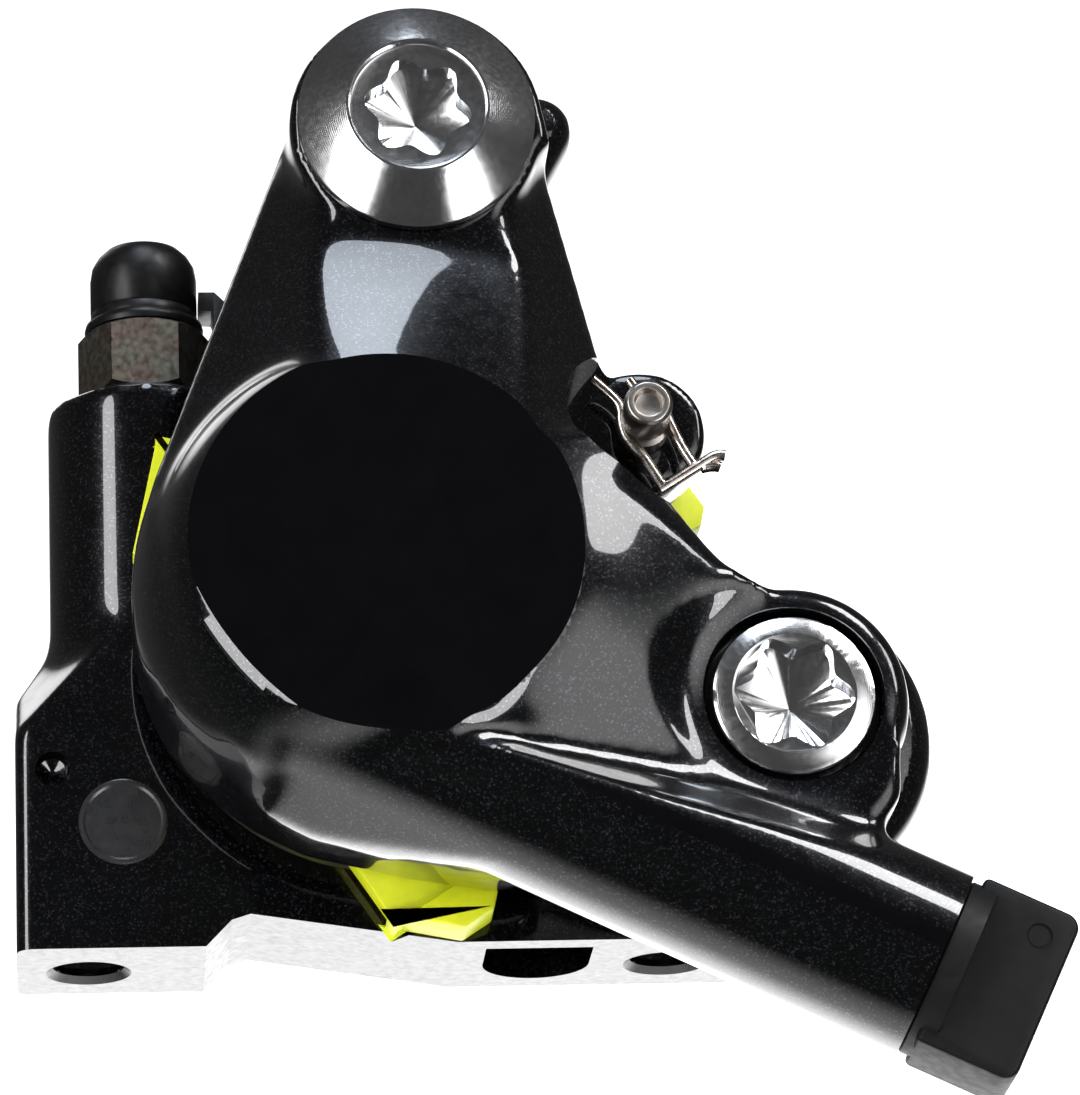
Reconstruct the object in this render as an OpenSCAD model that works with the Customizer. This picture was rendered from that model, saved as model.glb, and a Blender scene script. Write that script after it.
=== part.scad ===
// Two-piston hydraulic disc brake caliper for a flat frame mount.
// The origin lies midway between the two frame mount holes, on the mount face.
// X runs along the row of holes towards the hose port, Y towards the outboard side, Z up.

/* [Frame mount] */
// Distance between the two frame mount holes
mount_spacing = 34; // [33:0.5:36]
// Diameter of the tapped mount holes
mount_tap_d = 4.2; // [3.6:0.1:4.6]
// Depth of the tapped mount holes
mount_tap_depth = 9; // [6:0.5:10]
// Diameter of the lead-in chamfer at each mount hole
mount_lead_d = 5; // [4.8:0.1:5.6]
// Depth of the feet from front to back
foot_depth = 10; // [9:0.5:11]
// Length of the left foot beyond its mount hole
foot_end = 4.2; // [3.6:0.1:5]
// Length of the left foot from its mount hole towards the arch
foot_inner = 6.8; // [5.5:0.1:8]
// Height of the left foot's straight edge
foot_h = 12.7; // [11:0.1:14]
// Height of the arch between the feet
arch_h = 1.9; // [1:0.1:2.2]

/* [Rotor] */
// Outer radius of the rotor
rotor_r = 70; // [69:0.1:70.6]
// Room between the rim of the rotor and the bridges
rim_room = 1.3; // [1:0.1:1.6]
// Width of the slot between the halves
slot_w = 3.5; // [3.4:0.1:3.8]
// Distance from the row of mount holes to the middle of the slot
rotor_offset = 7.25; // [6.75:0.25:7.75]
// Distance from the rotor axis to the piston axis
track_r = 56.5; // [56:0.1:57]
// Direction from the rotor axis to the piston axis, in degrees above X
track_angle = 27; // [26:0.25:28]

/* [Piston housings] */
// Place of the piston axis along X
piston_x = 0.5; // [0:0.1:1]
// Height of the piston axis
piston_z = 18; // [17.6:0.1:18.6]
// Diameter of the pistons
piston_d = 22; // [21:0.1:22.4]
// Length of the pistons
piston_len = 9; // [8.6:0.1:9.2]
// Radius of the housings
housing_r = 14.7; // [14.5:0.1:15.2]
// Distance from the middle of the slot to the end face of each housing
half_depth = 16.75; // [16.5:0.05:17.5]
// Depth of the fluid space behind each piston
chamber_gap = 0.6; // [0.4:0.1:0.8]
// Radial thickness of the piston seals
seal_t = 1.8; // [1.5:0.1:2]
// Width of the piston seals
seal_w = 2.3; // [2:0.1:2.5]

/* [Body bolts] */
// Radius of the circle about the rotor axis that holds both body bolts
bolt_circle_r = 74.9; // [74.7:0.1:75.3]
// Direction of the upper body bolt from the rotor axis
upper_bolt_angle = 45.55; // [45.2:0.05:46]
// Direction of the lower body bolt from the rotor axis
lower_bolt_angle = 13.7; // [13.4:0.05:14]
// Thread diameter of the body bolts
bolt_d = 5; // [4.6:0.1:5]
// Diameter of the upper bolt's flange
upper_flange_d = 13.9; // [13:0.1:14.2]
// Diameter of the lower bolt's head
lower_head_d = 9.4; // [9:0.1:9.6]
// Width of the six-lobe recesses across their lobes
lobe_d = 6.4; // [6:0.1:6.8]

/* [Pads and axle] */
// Thickness of the pad plates
plate_t = 1.8; // [1.6:0.1:1.9]
// Thickness of the pad linings
lining_t = 2; // [1.8:0.1:2.1]
// Radius of the pad plates
plate_r = 13.3; // [13:0.1:13.4]
// Width of the pad plates across their slide
plate_w = 23; // [22:0.1:23.2]
// Play between each lining and the spacer
pad_play = 0.55; // [0.52:0.01:0.6]
// Thickness of the spacer's tongue
spacer_t = 1.9; // [1.7:0.05:2]
// Radius of the circle about the rotor axis that holds the pad axle
axle_circle_r = 74.2; // [74:0.1:74.6]
// Direction of the pad axle from the rotor axis
axle_angle = 28.45; // [28.2:0.05:28.7]
// Diameter of the pad axle
axle_d = 3; // [2.8:0.1:3.2]

/* [Hose port] */
// End of the port tube along X
port_x = 30.2; // [29.8:0.1:30.8]
// Height of the end of the port tube
port_z = -5.5; // [-6:0.1:-5.2]
// Tilt of the port tube below X
port_tilt = 26; // [25.5:0.25:26.5]
// Distance from the middle of the slot to the tube's axis
port_depth = 11.25; // [11.1:0.05:11.4]
// Diameter of the port tube
port_d = 10.76; // [10.4:0.02:11]
// Thread core diameter of the port
port_thread_d = 7; // [6.6:0.1:7.4]
// Length of the port's thread
port_thread_len = 10; // [8:0.5:11]
// Diameter of the port's mouth, which holds the plug
port_mouth_d = 8.4; // [8:0.1:8.8]
// Depth of the port's mouth
port_mouth_depth = 5; // [4:0.5:6]

/* [Bleed valve] */
// Distance of the bleed valve from the left mount hole
bleed_inset = 3.85; // [3.5:0.05:4.1]
// Place of the bleed valve along Y
bleed_y = 0.5; // [0.3:0.1:0.7]
// Top of the bleed tower
tower_top = 35.2; // [34.6:0.1:35.8]
// Radius of the bleed tower
tower_r = 5.9; // [5.5:0.1:6]
// Width of the nipple's hexagon across its flats
hex_af = 7; // [6.5:0.1:7.4]
// Height of the nipple's hexagon
hex_h = 4.3; // [4:0.1:4.6]
// Diameter of the nipple's thread
nipple_d = 6; // [5.6:0.1:6.4]
// Depth of the nipple's thread in the tower
nipple_depth = 8.4; // [7.6:0.1:8.8]
// Outer diameter of the rubber cap
cap_d = 6.4; // [6.2:0.1:7]
// Height of the rubber cap
cap_h = 5.8; // [5.4:0.1:6.2]

/* [Clearances] */
// Radial clearance of the pistons in their bores
piston_clear = 0.05; // [0.03:0.01:0.08]
// Radial clearance of bolts, axle and nipple in their holes
hole_clear = 0.05; // [0.03:0.01:0.08]
// Room round the pads in their pockets
pad_room = 0.3; // [0.25:0.05:0.4]

/* [Hidden] */
$fn = 64;
eps = 0.01;

// Depths d are measured from the middle of the slot, towards -Y on the inboard side and +Y outboard.
inboard = -1;
outboard = 1;
rotor_y = -rotor_offset;
slot_d = slot_w / 2;
pad_face_d = spacer_t / 2 + pad_play;
plate_d = pad_face_d + lining_t;
pad_back_d = plate_d + plate_t;
pocket_d = pad_back_d + pad_room;
piston_back_d = pad_back_d + piston_len;
chamber_d = piston_back_d + chamber_gap;
arm_d = slot_d + foot_depth;

// Centres in the X-Z plane.
piston = [piston_x, piston_z];
rotor_axis = piston - track_r * [cos(track_angle), sin(track_angle)];
upper_bolt = rotor_axis + bolt_circle_r * [cos(upper_bolt_angle), sin(upper_bolt_angle)];
lower_bolt = rotor_axis + bolt_circle_r * [cos(lower_bolt_angle), sin(lower_bolt_angle)];
axle = rotor_axis + axle_circle_r * [cos(axle_angle), sin(axle_angle)];
pad_angle = atan2(axle[1] - piston[1], axle[0] - piston[0]);
axle_u = norm(axle - piston);
mount_l = -mount_spacing / 2;
mount_r = mount_spacing / 2;
bleed_x = mount_l + bleed_inset;

// Piston housing and bore.
bore_r = piston_d / 2 + piston_clear;
face_r = 10.95;
dome_d = 9.75;
groove_r = bore_r + seal_t + 0.05;
groove_d = pocket_d + 1.2;
groove_w = seal_w + 0.1;
relief_d = groove_d + groove_w + 1.6;
relief_r = piston_d / 2 - 1;
pocket_r = plate_r + pad_room + 0.1;
channel_w = plate_w + 2 * pad_room;

// Bosses and bolt seats.
upper_boss_r = upper_flange_d / 2 + 0.45;
upper_seat_d = arm_d + 0.5;
lower_boss_r = lower_head_d / 2 + 2.1;
lower_seat_d = arm_d - 1;
lower_rim_d = arm_d + 1.3;
outer_upper_d = arm_d + 1;
outer_arm_inset = 1.2;
outer_lower_r = lower_boss_r + 2.8;
outer_lower = lower_bolt + [0.4, 1.8];
outer_corner = upper_bolt + [8.3, 5.4];
outer_corner_r = 2.2;
arch_right_inset = 12.6;
pocket_hole_inset = 7.7;
pocket_hole_r = 3.15;
pocket_hole_depth = 4.2;
bolt_reach_d = arm_d - 1.75;
bolt_hole_d = bolt_reach_d + 1;
cone_h = 2.1;

// Pad axle, lugs and clip.
lug_r = 3.8;
lug_d = 8.75;
outer_lug_r = 4.2;
outer_lug_d = 10.5;
axle_pocket_r = 4.8;
axle_tip_d = lug_d + 4.65;
clip_t = 0.6;
clip_d = lug_d + 1.25;
clip_groove_r = axle_d / 2 - 0.5;
clip_angle = -57;
clip_w = 0.75;
clip_leg = clip_groove_r + hole_clear + clip_w / 2;
clip_long_end = -3.7;
clip_short_end = -2.3;
clip_cross_u = 4.6;
clip_finger = 1.6;
axle_socket_w = 2.9;
axle_socket_depth = 1.2;

// Hose port, in the tube's own frame: its axis runs from the end of the tube into the body.
port_end = [port_x, port_z];
port_len = 31;
port_web = 7;
fairing = [6.6, -16.1];
fairing_angle = -98;
port_back = [-cos(port_tilt), sin(port_tilt)];
bore_offset = cross([port_back[0], port_back[1], 0], [piston[0] - port_x, piston[1] - port_z, 0])[2];
port_to_bore = port_back * (piston - port_end) - sqrt(bore_r * bore_r - bore_offset * bore_offset);
port_drill_len = port_to_bore + 1.5;
port_bottom = port_mouth_depth + port_thread_len;
drill_r = 0.9;

// Fluid crossover between the halves, beside the upper bolt.
crossover = upper_bolt + [4.6, 2.2];
crossover_r = 1.75;
crossover_depth = 1.05;
crossover_elbow_d = 4.75;
gallery_angle = 76.6;
gallery_end = piston + (bore_r - 0.26) * [cos(gallery_angle), sin(gallery_angle)];
gallery_end_d = relief_d + 0.55;
bleed_end_angle = 145.7;
bleed_end = piston + (bore_r - 0.4) * [cos(bleed_end_angle), sin(bleed_end_angle)];

// Bleed valve.
nipple_seat_z = tower_top - nipple_depth;
strap_z = tower_top + 0.05;
strap_ring_t = 0.65;
hex_z = strap_z + strap_ring_t + 0.05;
hex_r = hex_af / 2 / cos(30);
hex_turn = 30;
spout_z = hex_z + hex_h;
spout_r = cap_d / 2 - 1.15;
cap_z = spout_z + 0.1;
strap_gap = 0.2;
strap_t = 0.8;
strap_w = 2.6;

// Spacer, in the pads' own frame: u runs outwards along their slide and v across it.
spacer_bar_u = [-9.4, -3.4];
spacer_bar_v = [-17.2, 17.8];
spacer_chamfer = [3.2, 5.4];
spacer_tongue_w = 14;
spacer_prong_v = [axle_d / 2 + 0.6, 4.8];
spacer_prong_u = axle_u + 2.6;
spacer_notch_u = axle_u - axle_d / 2 - 1;
spacer_grip_v = -14.75;
spacer_grip_d = slot_d - 0.15;

// Pad spring.
spring_t = 0.35;
spring_top_d = plate_d - 0.1;
spring_in_r = 11.6;
spring_out_r = 13;
spring_tab_w = 5.2;
spring_bridge_w = 3.2;
lining_r = 11.2;
lining_w = 21;

// Plug.
plug_collar_d = 10.4;
plug_collar_h = 1.65;
plug_tab_len = 4.9;
plug_tab_t = 5.6;
plug_corner_r = 0.7;
plug_stem_len = port_mouth_depth - 0.5;

// Places children, drawn with X, Z and depth d as their own axes, on one side of the slot.
module on_side(side) {
    translate([0, rotor_y, 0])
        if (side > 0) mirror([0, 1, 0]) rotate([90, 0, 0]) children();
        else rotate([90, 0, 0]) children();
}

// Extrudes an X-Z outline between two depths.
module band(from_d, to_d) {
    translate([0, 0, from_d]) linear_extrude(to_d - from_d) children();
}

// Round bar across the slot's plane, between two depths.
module bar(centre, r, from_d, to_d) {
    translate([centre[0], centre[1], from_d]) cylinder(r = r, h = to_d - from_d);
}

// Straight drilling between two points.
module drilling(from, to, r) {
    run = to - from;
    flat = norm([run[0], run[1]]);
    translate(from)
        rotate([0, atan2(flat, run[2]), atan2(run[1], run[0])])
            cylinder(r = r, h = norm(run));
}

// Outline of two circles and the straight tangents between them.
module link(a, ra, b, rb) {
    run = b - a;
    turn = atan2(run[1], run[0]);
    lean = acos((ra - rb) / norm(run));
    up = [cos(turn + lean), sin(turn + lean)];
    down = [cos(turn - lean), sin(turn - lean)];
    translate(a) circle(ra);
    translate(b) circle(rb);
    polygon([a + ra * up, a + ra * down, b + rb * down, b + rb * up]);
}

// Outline of a strip with round ends.
module strip(a, b, w) {
    link(a, w / 2, b, w / 2 - eps / 10);
}

// Places a 2-D outline in the pads' own frame, u outwards along their slide and v across it.
module pad_frame() {
    translate(piston) rotate(pad_angle) children();
}

// Rectangle between two corners.
module span(u, v) {
    translate([u[0], v[0]]) square([u[1] - u[0], v[1] - v[0]]);
}

// Places children, drawn along +Z from the end of the tube into the body, on the hose port.
module port_frame() {
    translate([port_end[0], port_end[1], port_depth])
        rotate([0, 0, 180 - port_tilt]) rotate([0, 90, 0]) children();
}

// Domed piston housing, from the slot to its flat end face.
module housing() {
    step = housing_r - face_r;
    rise = half_depth - dome_d;
    dome_r = (step * step + rise * rise) / (2 * step);
    translate([piston[0], piston[1], 0]) rotate_extrude() {
        translate([0, slot_d]) square([housing_r, dome_d - slot_d]);
        translate([0, dome_d]) square([housing_r - dome_r, rise]);
        intersection() {
            translate([housing_r - dome_r, dome_d]) circle(dome_r);
            translate([0, dome_d]) square([housing_r, rise]);
        }
    }
}

// Cuts that both halves share: bore, seal groove, pad pocket and the room for the rotor's rim.
module half_cuts() {
    bar(piston, bore_r, 0, chamber_d);
    bar(piston, groove_r, groove_d, groove_d + groove_w);
    band(0, pocket_d) pad_pocket();
    bar(rotor_axis, rotor_r + rim_room, -1, slot_d);
    bar(axle, axle_d / 2 + hole_clear, 0, half_depth);
}

// Pocket that the pads slide out of, open between the body bolts.
module pad_pocket() {
    translate(piston) circle(pocket_r);
    pad_frame() span([0, axle_u + 12], [-channel_w / 2, channel_w / 2]);
}

// Elbow drilling from the crossover to the fluid space behind a piston.
module gallery() {
    bar(crossover, drill_r, -1, crossover_elbow_d + drill_r);
    drilling([crossover[0], crossover[1], crossover_elbow_d],
        [gallery_end[0], gallery_end[1], gallery_end_d], drill_r);
}

// Arms of the inboard half: to the upper bolt, the axle lug, the lower bolt and the port tube.
module inboard_arms() {
    link(upper_bolt, upper_boss_r, piston, housing_r);
    polygon([
        piston, upper_bolt + [5.7, -6.6], axle + [0.5, -5.2], lower_bolt + [-3.9, 9.1],
        lower_bolt + [-1.5, lower_boss_r - 0.3], lower_bolt + [lower_boss_r, 0.4],
        lower_bolt + [5.8, -6.1], port_end + port_web * port_back,
        piston + fairing, piston + housing_r * [cos(fairing_angle), sin(fairing_angle)]
    ]);
}

// Inboard half: piston housing, bolt bosses, axle lug and hose port tube.
module inboard_half() {
    color("#17171b") on_side(inboard) difference() {
        union() {
            housing();
            band(slot_d, arm_d) inboard_arms();
            bar(upper_bolt, upper_boss_r + eps, 0, upper_seat_d);
            bar(lower_bolt, lower_boss_r, 0, lower_rim_d);
            bar(axle, lug_r, slot_d, lug_d);
            port_frame() cylinder(d = port_d, h = port_len);
        }
        half_cuts();
        gallery();
        bar(crossover, crossover_r, -1, crossover_depth);
        bar(upper_bolt, bolt_d / 2 + hole_clear, -1, half_depth);
        bar(lower_bolt, bolt_d / 2 + hole_clear, -1, half_depth);
        bar(lower_bolt, lower_head_d / 2 + 0.35, lower_seat_d, half_depth);
        bar(axle, axle_pocket_r, lug_d, half_depth);
        port_frame() {
            translate([0, 0, -1]) cylinder(d = port_mouth_d, h = port_mouth_depth + 1);
            cylinder(d = port_thread_d, h = port_bottom);
            cylinder(r = drill_r, h = port_drill_len);
        }
    }
}

// Outline of the outboard half's plate: both feet, the arch between them and the arms.
module outboard_plate() {
    foot_l = mount_l - foot_end;
    arch_l = mount_l + foot_inner;
    arch_r = mount_r - arch_right_inset;
    difference() {
        union() {
            polygon([
                [foot_l, 0], [foot_l, foot_h], [foot_l + 5, foot_h + 5.4], [bleed_x + tower_r, piston_z + 8],
                piston, outer_lower, [mount_r + 5.5, 4], [mount_r + 4.2, 0]
            ]);
            link(upper_bolt, upper_boss_r - outer_arm_inset, piston, housing_r - outer_arm_inset);
            polygon([
                piston, upper_bolt + [6.5, -4.5], axle + [2, -2.5], lower_bolt + [-3.5, 9.5], outer_lower
            ]);
        }
        polygon([
            [arch_l, -1], [arch_l, 0], [arch_l + 1.5, arch_h - 0.35], [arch_l + 2.6, arch_h],
            [arch_r, 0], [arch_r, -1]
        ]);
    }
}

// Outboard half: piston housing, mount feet, bolt bosses and bleed tower.
module outboard_half() {
    color("#17171b") difference() {
        union() {
            on_side(outboard) {
                housing();
                band(slot_d, arm_d) outboard_plate();
                bar(upper_bolt, upper_boss_r + 0.2 + eps, 0, outer_upper_d);
                bar(outer_lower, outer_lower_r, 0, arm_d);
                band(0, outer_upper_d) link(upper_bolt, upper_boss_r - 0.5, outer_corner, outer_corner_r);
                bar(axle, outer_lug_r, slot_d, outer_lug_d);
            }
            translate([bleed_x, bleed_y, foot_h - 3]) cylinder(r = tower_r, h = tower_top - foot_h + 3);
        }
        on_side(outboard) {
            half_cuts();
            gallery();
            bar(upper_bolt, bolt_d / 2 + hole_clear, -1, bolt_hole_d);
            bar(lower_bolt, bolt_d / 2 + hole_clear, -1, bolt_hole_d);
            bar(axle, axle_d / 2 + 1.25, outer_lug_d - 1.5, half_depth);
        }
        for (x = [mount_l, mount_r]) translate([x, 0, 0]) {
            translate([0, 0, -1]) cylinder(d = mount_tap_d, h = mount_tap_depth + 1);
            translate([0, 0, -eps]) cylinder(d1 = mount_lead_d, d2 = mount_tap_d, h = 0.45);
        }
        translate([mount_r - pocket_hole_inset, -0.4, -1]) {
            cylinder(r = pocket_hole_r, h = pocket_hole_depth + 1);
            translate([-pocket_hole_r, -3.5, 0]) cube([2 * pocket_hole_r, 3.5, pocket_hole_depth + 1]);
        }
        translate([bleed_x, bleed_y, nipple_seat_z])
            cylinder(d = nipple_d + 2 * hole_clear, h = nipple_depth + 1);
        translate([bleed_x, bleed_y, nipple_seat_z - 1.6]) cylinder(r = drill_r, h = 2);
        drilling([bleed_x, bleed_y, nipple_seat_z - 1],
            [bleed_end[0], rotor_y + gallery_end_d, bleed_end[1]], drill_r);
    }
}

// Six-lobe recess, drawn as a cutter.
module six_lobe(depth) {
    lobe_r = lobe_d * 0.13;
    linear_extrude(depth) {
        circle(d = lobe_d * 0.76);
        for (turn = [0:60:300]) rotate(turn) translate([lobe_d / 2 - lobe_r, 0]) circle(lobe_r);
    }
    translate([0, 0, -0.9]) cylinder(r1 = 0.05, r2 = lobe_d * 0.36, h = 0.9 + eps);
}

// Upper bolt: thread, wide cone flange and raised ring with the recess.
module upper_body_bolt() {
    rim_h = 0.7;
    top_d = 8.1;
    color("silver") on_side(inboard) translate([upper_bolt[0], upper_bolt[1], 0]) difference() {
        union() {
            translate([0, 0, -bolt_reach_d]) cylinder(d = bolt_d, h = bolt_reach_d + upper_seat_d + eps);
            translate([0, 0, upper_seat_d]) cylinder(d = upper_flange_d, h = rim_h);
            translate([0, 0, upper_seat_d + rim_h]) cylinder(d1 = upper_flange_d, d2 = top_d, h = cone_h);
        }
        translate([0, 0, upper_seat_d + 0.3]) six_lobe(cone_h + rim_h);
    }
}

// Lower bolt: thread and dished head, which sits in a counterbore.
module lower_body_bolt() {
    head_h = 2.6;
    dish_h = 0.6;
    color("silver") on_side(inboard) translate([lower_bolt[0], lower_bolt[1], 0]) difference() {
        union() {
            translate([0, 0, -bolt_reach_d]) cylinder(d = bolt_d, h = bolt_reach_d + lower_seat_d + eps);
            translate([0, 0, lower_seat_d]) cylinder(d = lower_head_d, h = head_h);
        }
        translate([0, 0, lower_seat_d + head_h - dish_h])
            cylinder(d1 = lobe_d * 0.9, d2 = lower_head_d - 0.3, h = dish_h + eps);
        translate([0, 0, lower_seat_d + 0.3]) six_lobe(head_h);
    }
}

// Seal ring of the fluid crossover, in its counterbore in the inboard half.
module crossover_o_ring() {
    ring_r = 0.5;
    color("#202020") on_side(inboard) translate([crossover[0], crossover[1], crossover_depth / 2])
        rotate_extrude() translate([crossover_r - ring_r - 0.03, 0]) circle(ring_r);
}

// Piston: full width at the pad, narrower behind the seal, hollow towards the pad.
module piston_body(side) {
    color("#d8d2c4") on_side(side) difference() {
        union() {
            bar(piston, piston_d / 2, pad_back_d, relief_d);
            bar(piston, relief_r, relief_d - eps, piston_back_d);
        }
        bar(piston, piston_d / 2 - 2.8, pad_back_d - 1, pad_back_d + 3.7);
    }
}

module inboard_piston() { piston_body(inboard); }

module outboard_piston() { piston_body(outboard); }

// Square-section seal ring in a bore's groove.
module piston_seal(side) {
    gap = (groove_w - seal_w) / 2;
    color("#2a2a2a") on_side(side) difference() {
        bar(piston, groove_r - 0.03, groove_d + gap, groove_d + gap + seal_w);
        bar(piston, piston_d / 2 + 0.03, 0, half_depth);
    }
}

module inboard_piston_seal() { piston_seal(inboard); }

module outboard_piston_seal() { piston_seal(outboard); }

// Tab of a pad plate, with its corners cut off round the axle.
module pad_tab() {
    root = 4.6;
    end = 3.1;
    polygon([
        [axle_u - 8, -root], [axle_u - 1, -root + 0.6], [axle_u + end - 1.3, -end + 0.3],
        [axle_u + end, -end + 1.8], [axle_u + end, end - 1.8], [axle_u + end - 1.3, end - 0.3],
        [axle_u - 1, root - 0.6], [axle_u - 8, root]
    ]);
}

// Pad plate: round-ended plate with a tab that hangs on the axle.
module pad_plate(side) {
    color("#8f8a80") on_side(side) band(plate_d, pad_back_d) difference() {
        union() {
            intersection() {
                translate(piston) circle(plate_r);
                pad_frame() span([-plate_r, plate_r], [-plate_w / 2, plate_w / 2]);
            }
            pad_frame() pad_tab();
        }
        translate(axle) circle(axle_d / 2 + 0.15);
    }
}

module inboard_pad_plate() { pad_plate(inboard); }

module outboard_pad_plate() { pad_plate(outboard); }

// Friction lining on the rotor side of a pad plate, with a relief groove across it.
module pad_lining(side) {
    color("#5a5048") on_side(side) difference() {
        band(pad_face_d, plate_d) intersection() {
            translate(piston) circle(lining_r);
            pad_frame() span([-lining_r + 1.5, lining_r - 1.5], [-lining_w / 2, lining_w / 2]);
        }
        band(pad_face_d - 1, pad_face_d + 0.8)
            pad_frame() span([-lining_r, lining_r], [-0.5, 0.5]);
    }
}

module inboard_pad_lining() { pad_lining(inboard); }

module outboard_pad_lining() { pad_lining(outboard); }

// Leg of the pad spring: an arc round the lining and a tab on the axle.
module spring_leg() {
    difference() {
        union() {
            difference() {
                intersection() {
                    translate(piston) circle(spring_out_r);
                    pad_frame() span([-4, spring_out_r], [-spring_out_r, spring_out_r]);
                }
                translate(piston) circle(spring_in_r);
            }
            pad_frame() span([spring_in_r + 0.4, axle_u + 2.4], [-spring_tab_w / 2, spring_tab_w / 2]);
        }
        translate(axle) circle(axle_d / 2 + 0.25);
    }
}

// Sheet spring that holds the pads apart: two legs and a bridge beyond the rotor's rim.
module pad_spring() {
    bridge_u = axle_u + 2.4;
    color("#c9c9c4") {
        for (side = [inboard, outboard])
            on_side(side) band(spring_top_d - spring_t, spring_top_d) spring_leg();
        on_side(inboard) band(-spring_top_d, spring_top_d) pad_frame()
            span([bridge_u - spring_t, bridge_u], [-spring_bridge_w / 2, spring_bridge_w / 2]);
    }
}

// Pad axle: pin with a clip groove near its tip and a socket head on the outboard side.
module pad_axle() {
    head_h = 1.5;
    head_r = axle_d / 2 + 1.2;
    head_d = outer_lug_d - head_h;
    color("silver") difference() {
        union() {
            on_side(inboard) {
                bar(axle, axle_d / 2, -head_d - eps, clip_d);
                bar(axle, clip_groove_r, clip_d - eps, clip_d + clip_t + 0.1);
                bar(axle, axle_d / 2 - 0.1, clip_d + clip_t + 0.1, axle_tip_d);
            }
            on_side(outboard) bar(axle, head_r, head_d, head_d + head_h);
        }
        on_side(outboard) translate([axle[0], axle[1], outer_lug_d - axle_socket_depth])
            cylinder(d = axle_socket_w, h = axle_socket_depth + 1, $fn = 6);
    }
}

// Spring clip: two legs that straddle the axle's groove, joined by a crossbar with a finger tab.
module axle_clip() {
    color("#b9b7b0") on_side(inboard) band(clip_d + 0.05, clip_d + 0.05 + clip_t)
        translate(axle) rotate(clip_angle) {
            strip([clip_long_end, -clip_leg], [clip_cross_u, -clip_leg], clip_w);
            strip([clip_short_end, clip_leg], [clip_cross_u, clip_leg], clip_w);
            strip([clip_cross_u, -clip_leg], [clip_cross_u, clip_leg + clip_finger], clip_w);
        }
}

// Bleed nipple: thread, hexagon and spout, drilled through.
module bleed_nipple() {
    color("#9a948a") translate([bleed_x, bleed_y, 0]) difference() {
        union() {
            translate([0, 0, nipple_seat_z + 0.2]) cylinder(d = nipple_d, h = hex_z - nipple_seat_z);
            translate([0, 0, hex_z]) rotate(hex_turn) cylinder(r = hex_r, h = hex_h, $fn = 6);
            translate([0, 0, spout_z - eps]) cylinder(r = spout_r, h = cap_h - 1.4);
            translate([0, 0, spout_z + cap_h - 2.8]) cylinder(r1 = spout_r + 0.3, r2 = spout_r - 0.3, h = 1.4);
        }
        translate([0, 0, nipple_seat_z - 1]) cylinder(r = drill_r, h = tower_top + cap_h);
    }
}

// Rubber cap: a round-topped cup over the spout.
module bleed_cap() {
    r = cap_d / 2;
    dome = 1.2;
    color("#161616") translate([bleed_x, bleed_y, cap_z]) difference() {
        rotate_extrude() {
            square([r, cap_h - dome]);
            square([r - dome, cap_h]);
            translate([r - dome, cap_h - dome]) circle(dome);
            square([r + 0.35, 0.6]);
        }
        translate([0, 0, -1]) cylinder(r = spout_r + 0.45, h = cap_h - 0.1);
    }
}

// Strap from a ring under the hexagon up to the cap's rim.
module bleed_cap_strap() {
    strap_x = hex_r + strap_gap;
    strap_top = cap_z + 2.4;
    ring_in = nipple_d / 2 + 0.1;
    color("#161616") translate([bleed_x, bleed_y, 0]) {
        translate([0, 0, strap_z]) linear_extrude(strap_ring_t) difference() {
            union() {
                circle(ring_in + 0.9);
                translate([0, -strap_w / 2]) square([strap_x + strap_t, strap_w]);
            }
            circle(ring_in);
        }
        translate([strap_x, -strap_w / 2, strap_z]) cube([strap_t, strap_w, strap_top - strap_z]);
        translate([cap_d / 2 + 0.4, -strap_w / 2, strap_top - strap_t])
            cube([strap_x - cap_d / 2 - 0.3, strap_w, strap_t]);
    }
}

// Outline of the spacer's crossbar, with its two inner corners cut off.
module spacer_bar() {
    u = spacer_bar_u;
    v = spacer_bar_v;
    cut = spacer_chamfer;
    polygon([
        [u[0], v[0] + cut[0]], [u[0] + cut[0], v[0]], [u[1], v[0]],
        [u[1], v[1]], [u[0] + cut[1], v[1]], [u[0], v[1] - cut[1]]
    ]);
}

// Spacer: a crossbar with a grip at its lower end and a tongue between the pads, forked at the axle.
module pad_spacer() {
    half_t = spacer_t / 2;
    color("#d5d815") on_side(inboard) {
        band(-half_t, half_t) pad_frame() {
            spacer_bar();
            span([spacer_bar_u[0], spacer_notch_u], [-spacer_tongue_w / 2, spacer_tongue_w / 2]);
            for (side = [-1, 1]) mirror([0, side > 0 ? 0 : 1])
                span([spacer_bar_u[0], spacer_prong_u], spacer_prong_v);
        }
        band(-spacer_grip_d, spacer_grip_d) pad_frame() intersection() {
            spacer_bar();
            span(spacer_bar_u, [spacer_bar_v[0], spacer_grip_v]);
        }
    }
}

// Plug: a stem in the port's mouth, a round collar and a flat grip tab with round corners.
module port_plug() {
    half_w = plug_collar_d / 2;
    tab_end = plug_collar_h + plug_tab_len;
    corner = half_w - plug_corner_r;
    color("#1b1b1b") on_side(inboard) port_frame() mirror([0, 0, 1]) {
        translate([0, 0, -plug_stem_len]) cylinder(d = port_mouth_d - 2 * hole_clear, h = plug_stem_len + eps);
        cylinder(d = plug_collar_d, h = plug_collar_h);
        intersection() {
            translate([-half_w, -half_w, plug_collar_h - eps])
                cube([2 * half_w, 2 * half_w, plug_tab_len + eps]);
            rotate([90, 0, 90]) translate([0, 0, -plug_tab_t / 2]) linear_extrude(plug_tab_t) {
                translate([-half_w, 0]) square([2 * half_w, tab_end - plug_corner_r]);
                translate([-corner, 0]) square([2 * corner, tab_end]);
                for (side = [-1, 1]) translate([side * corner, tab_end - plug_corner_r]) circle(plug_corner_r);
            }
        }
    }
}

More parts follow.
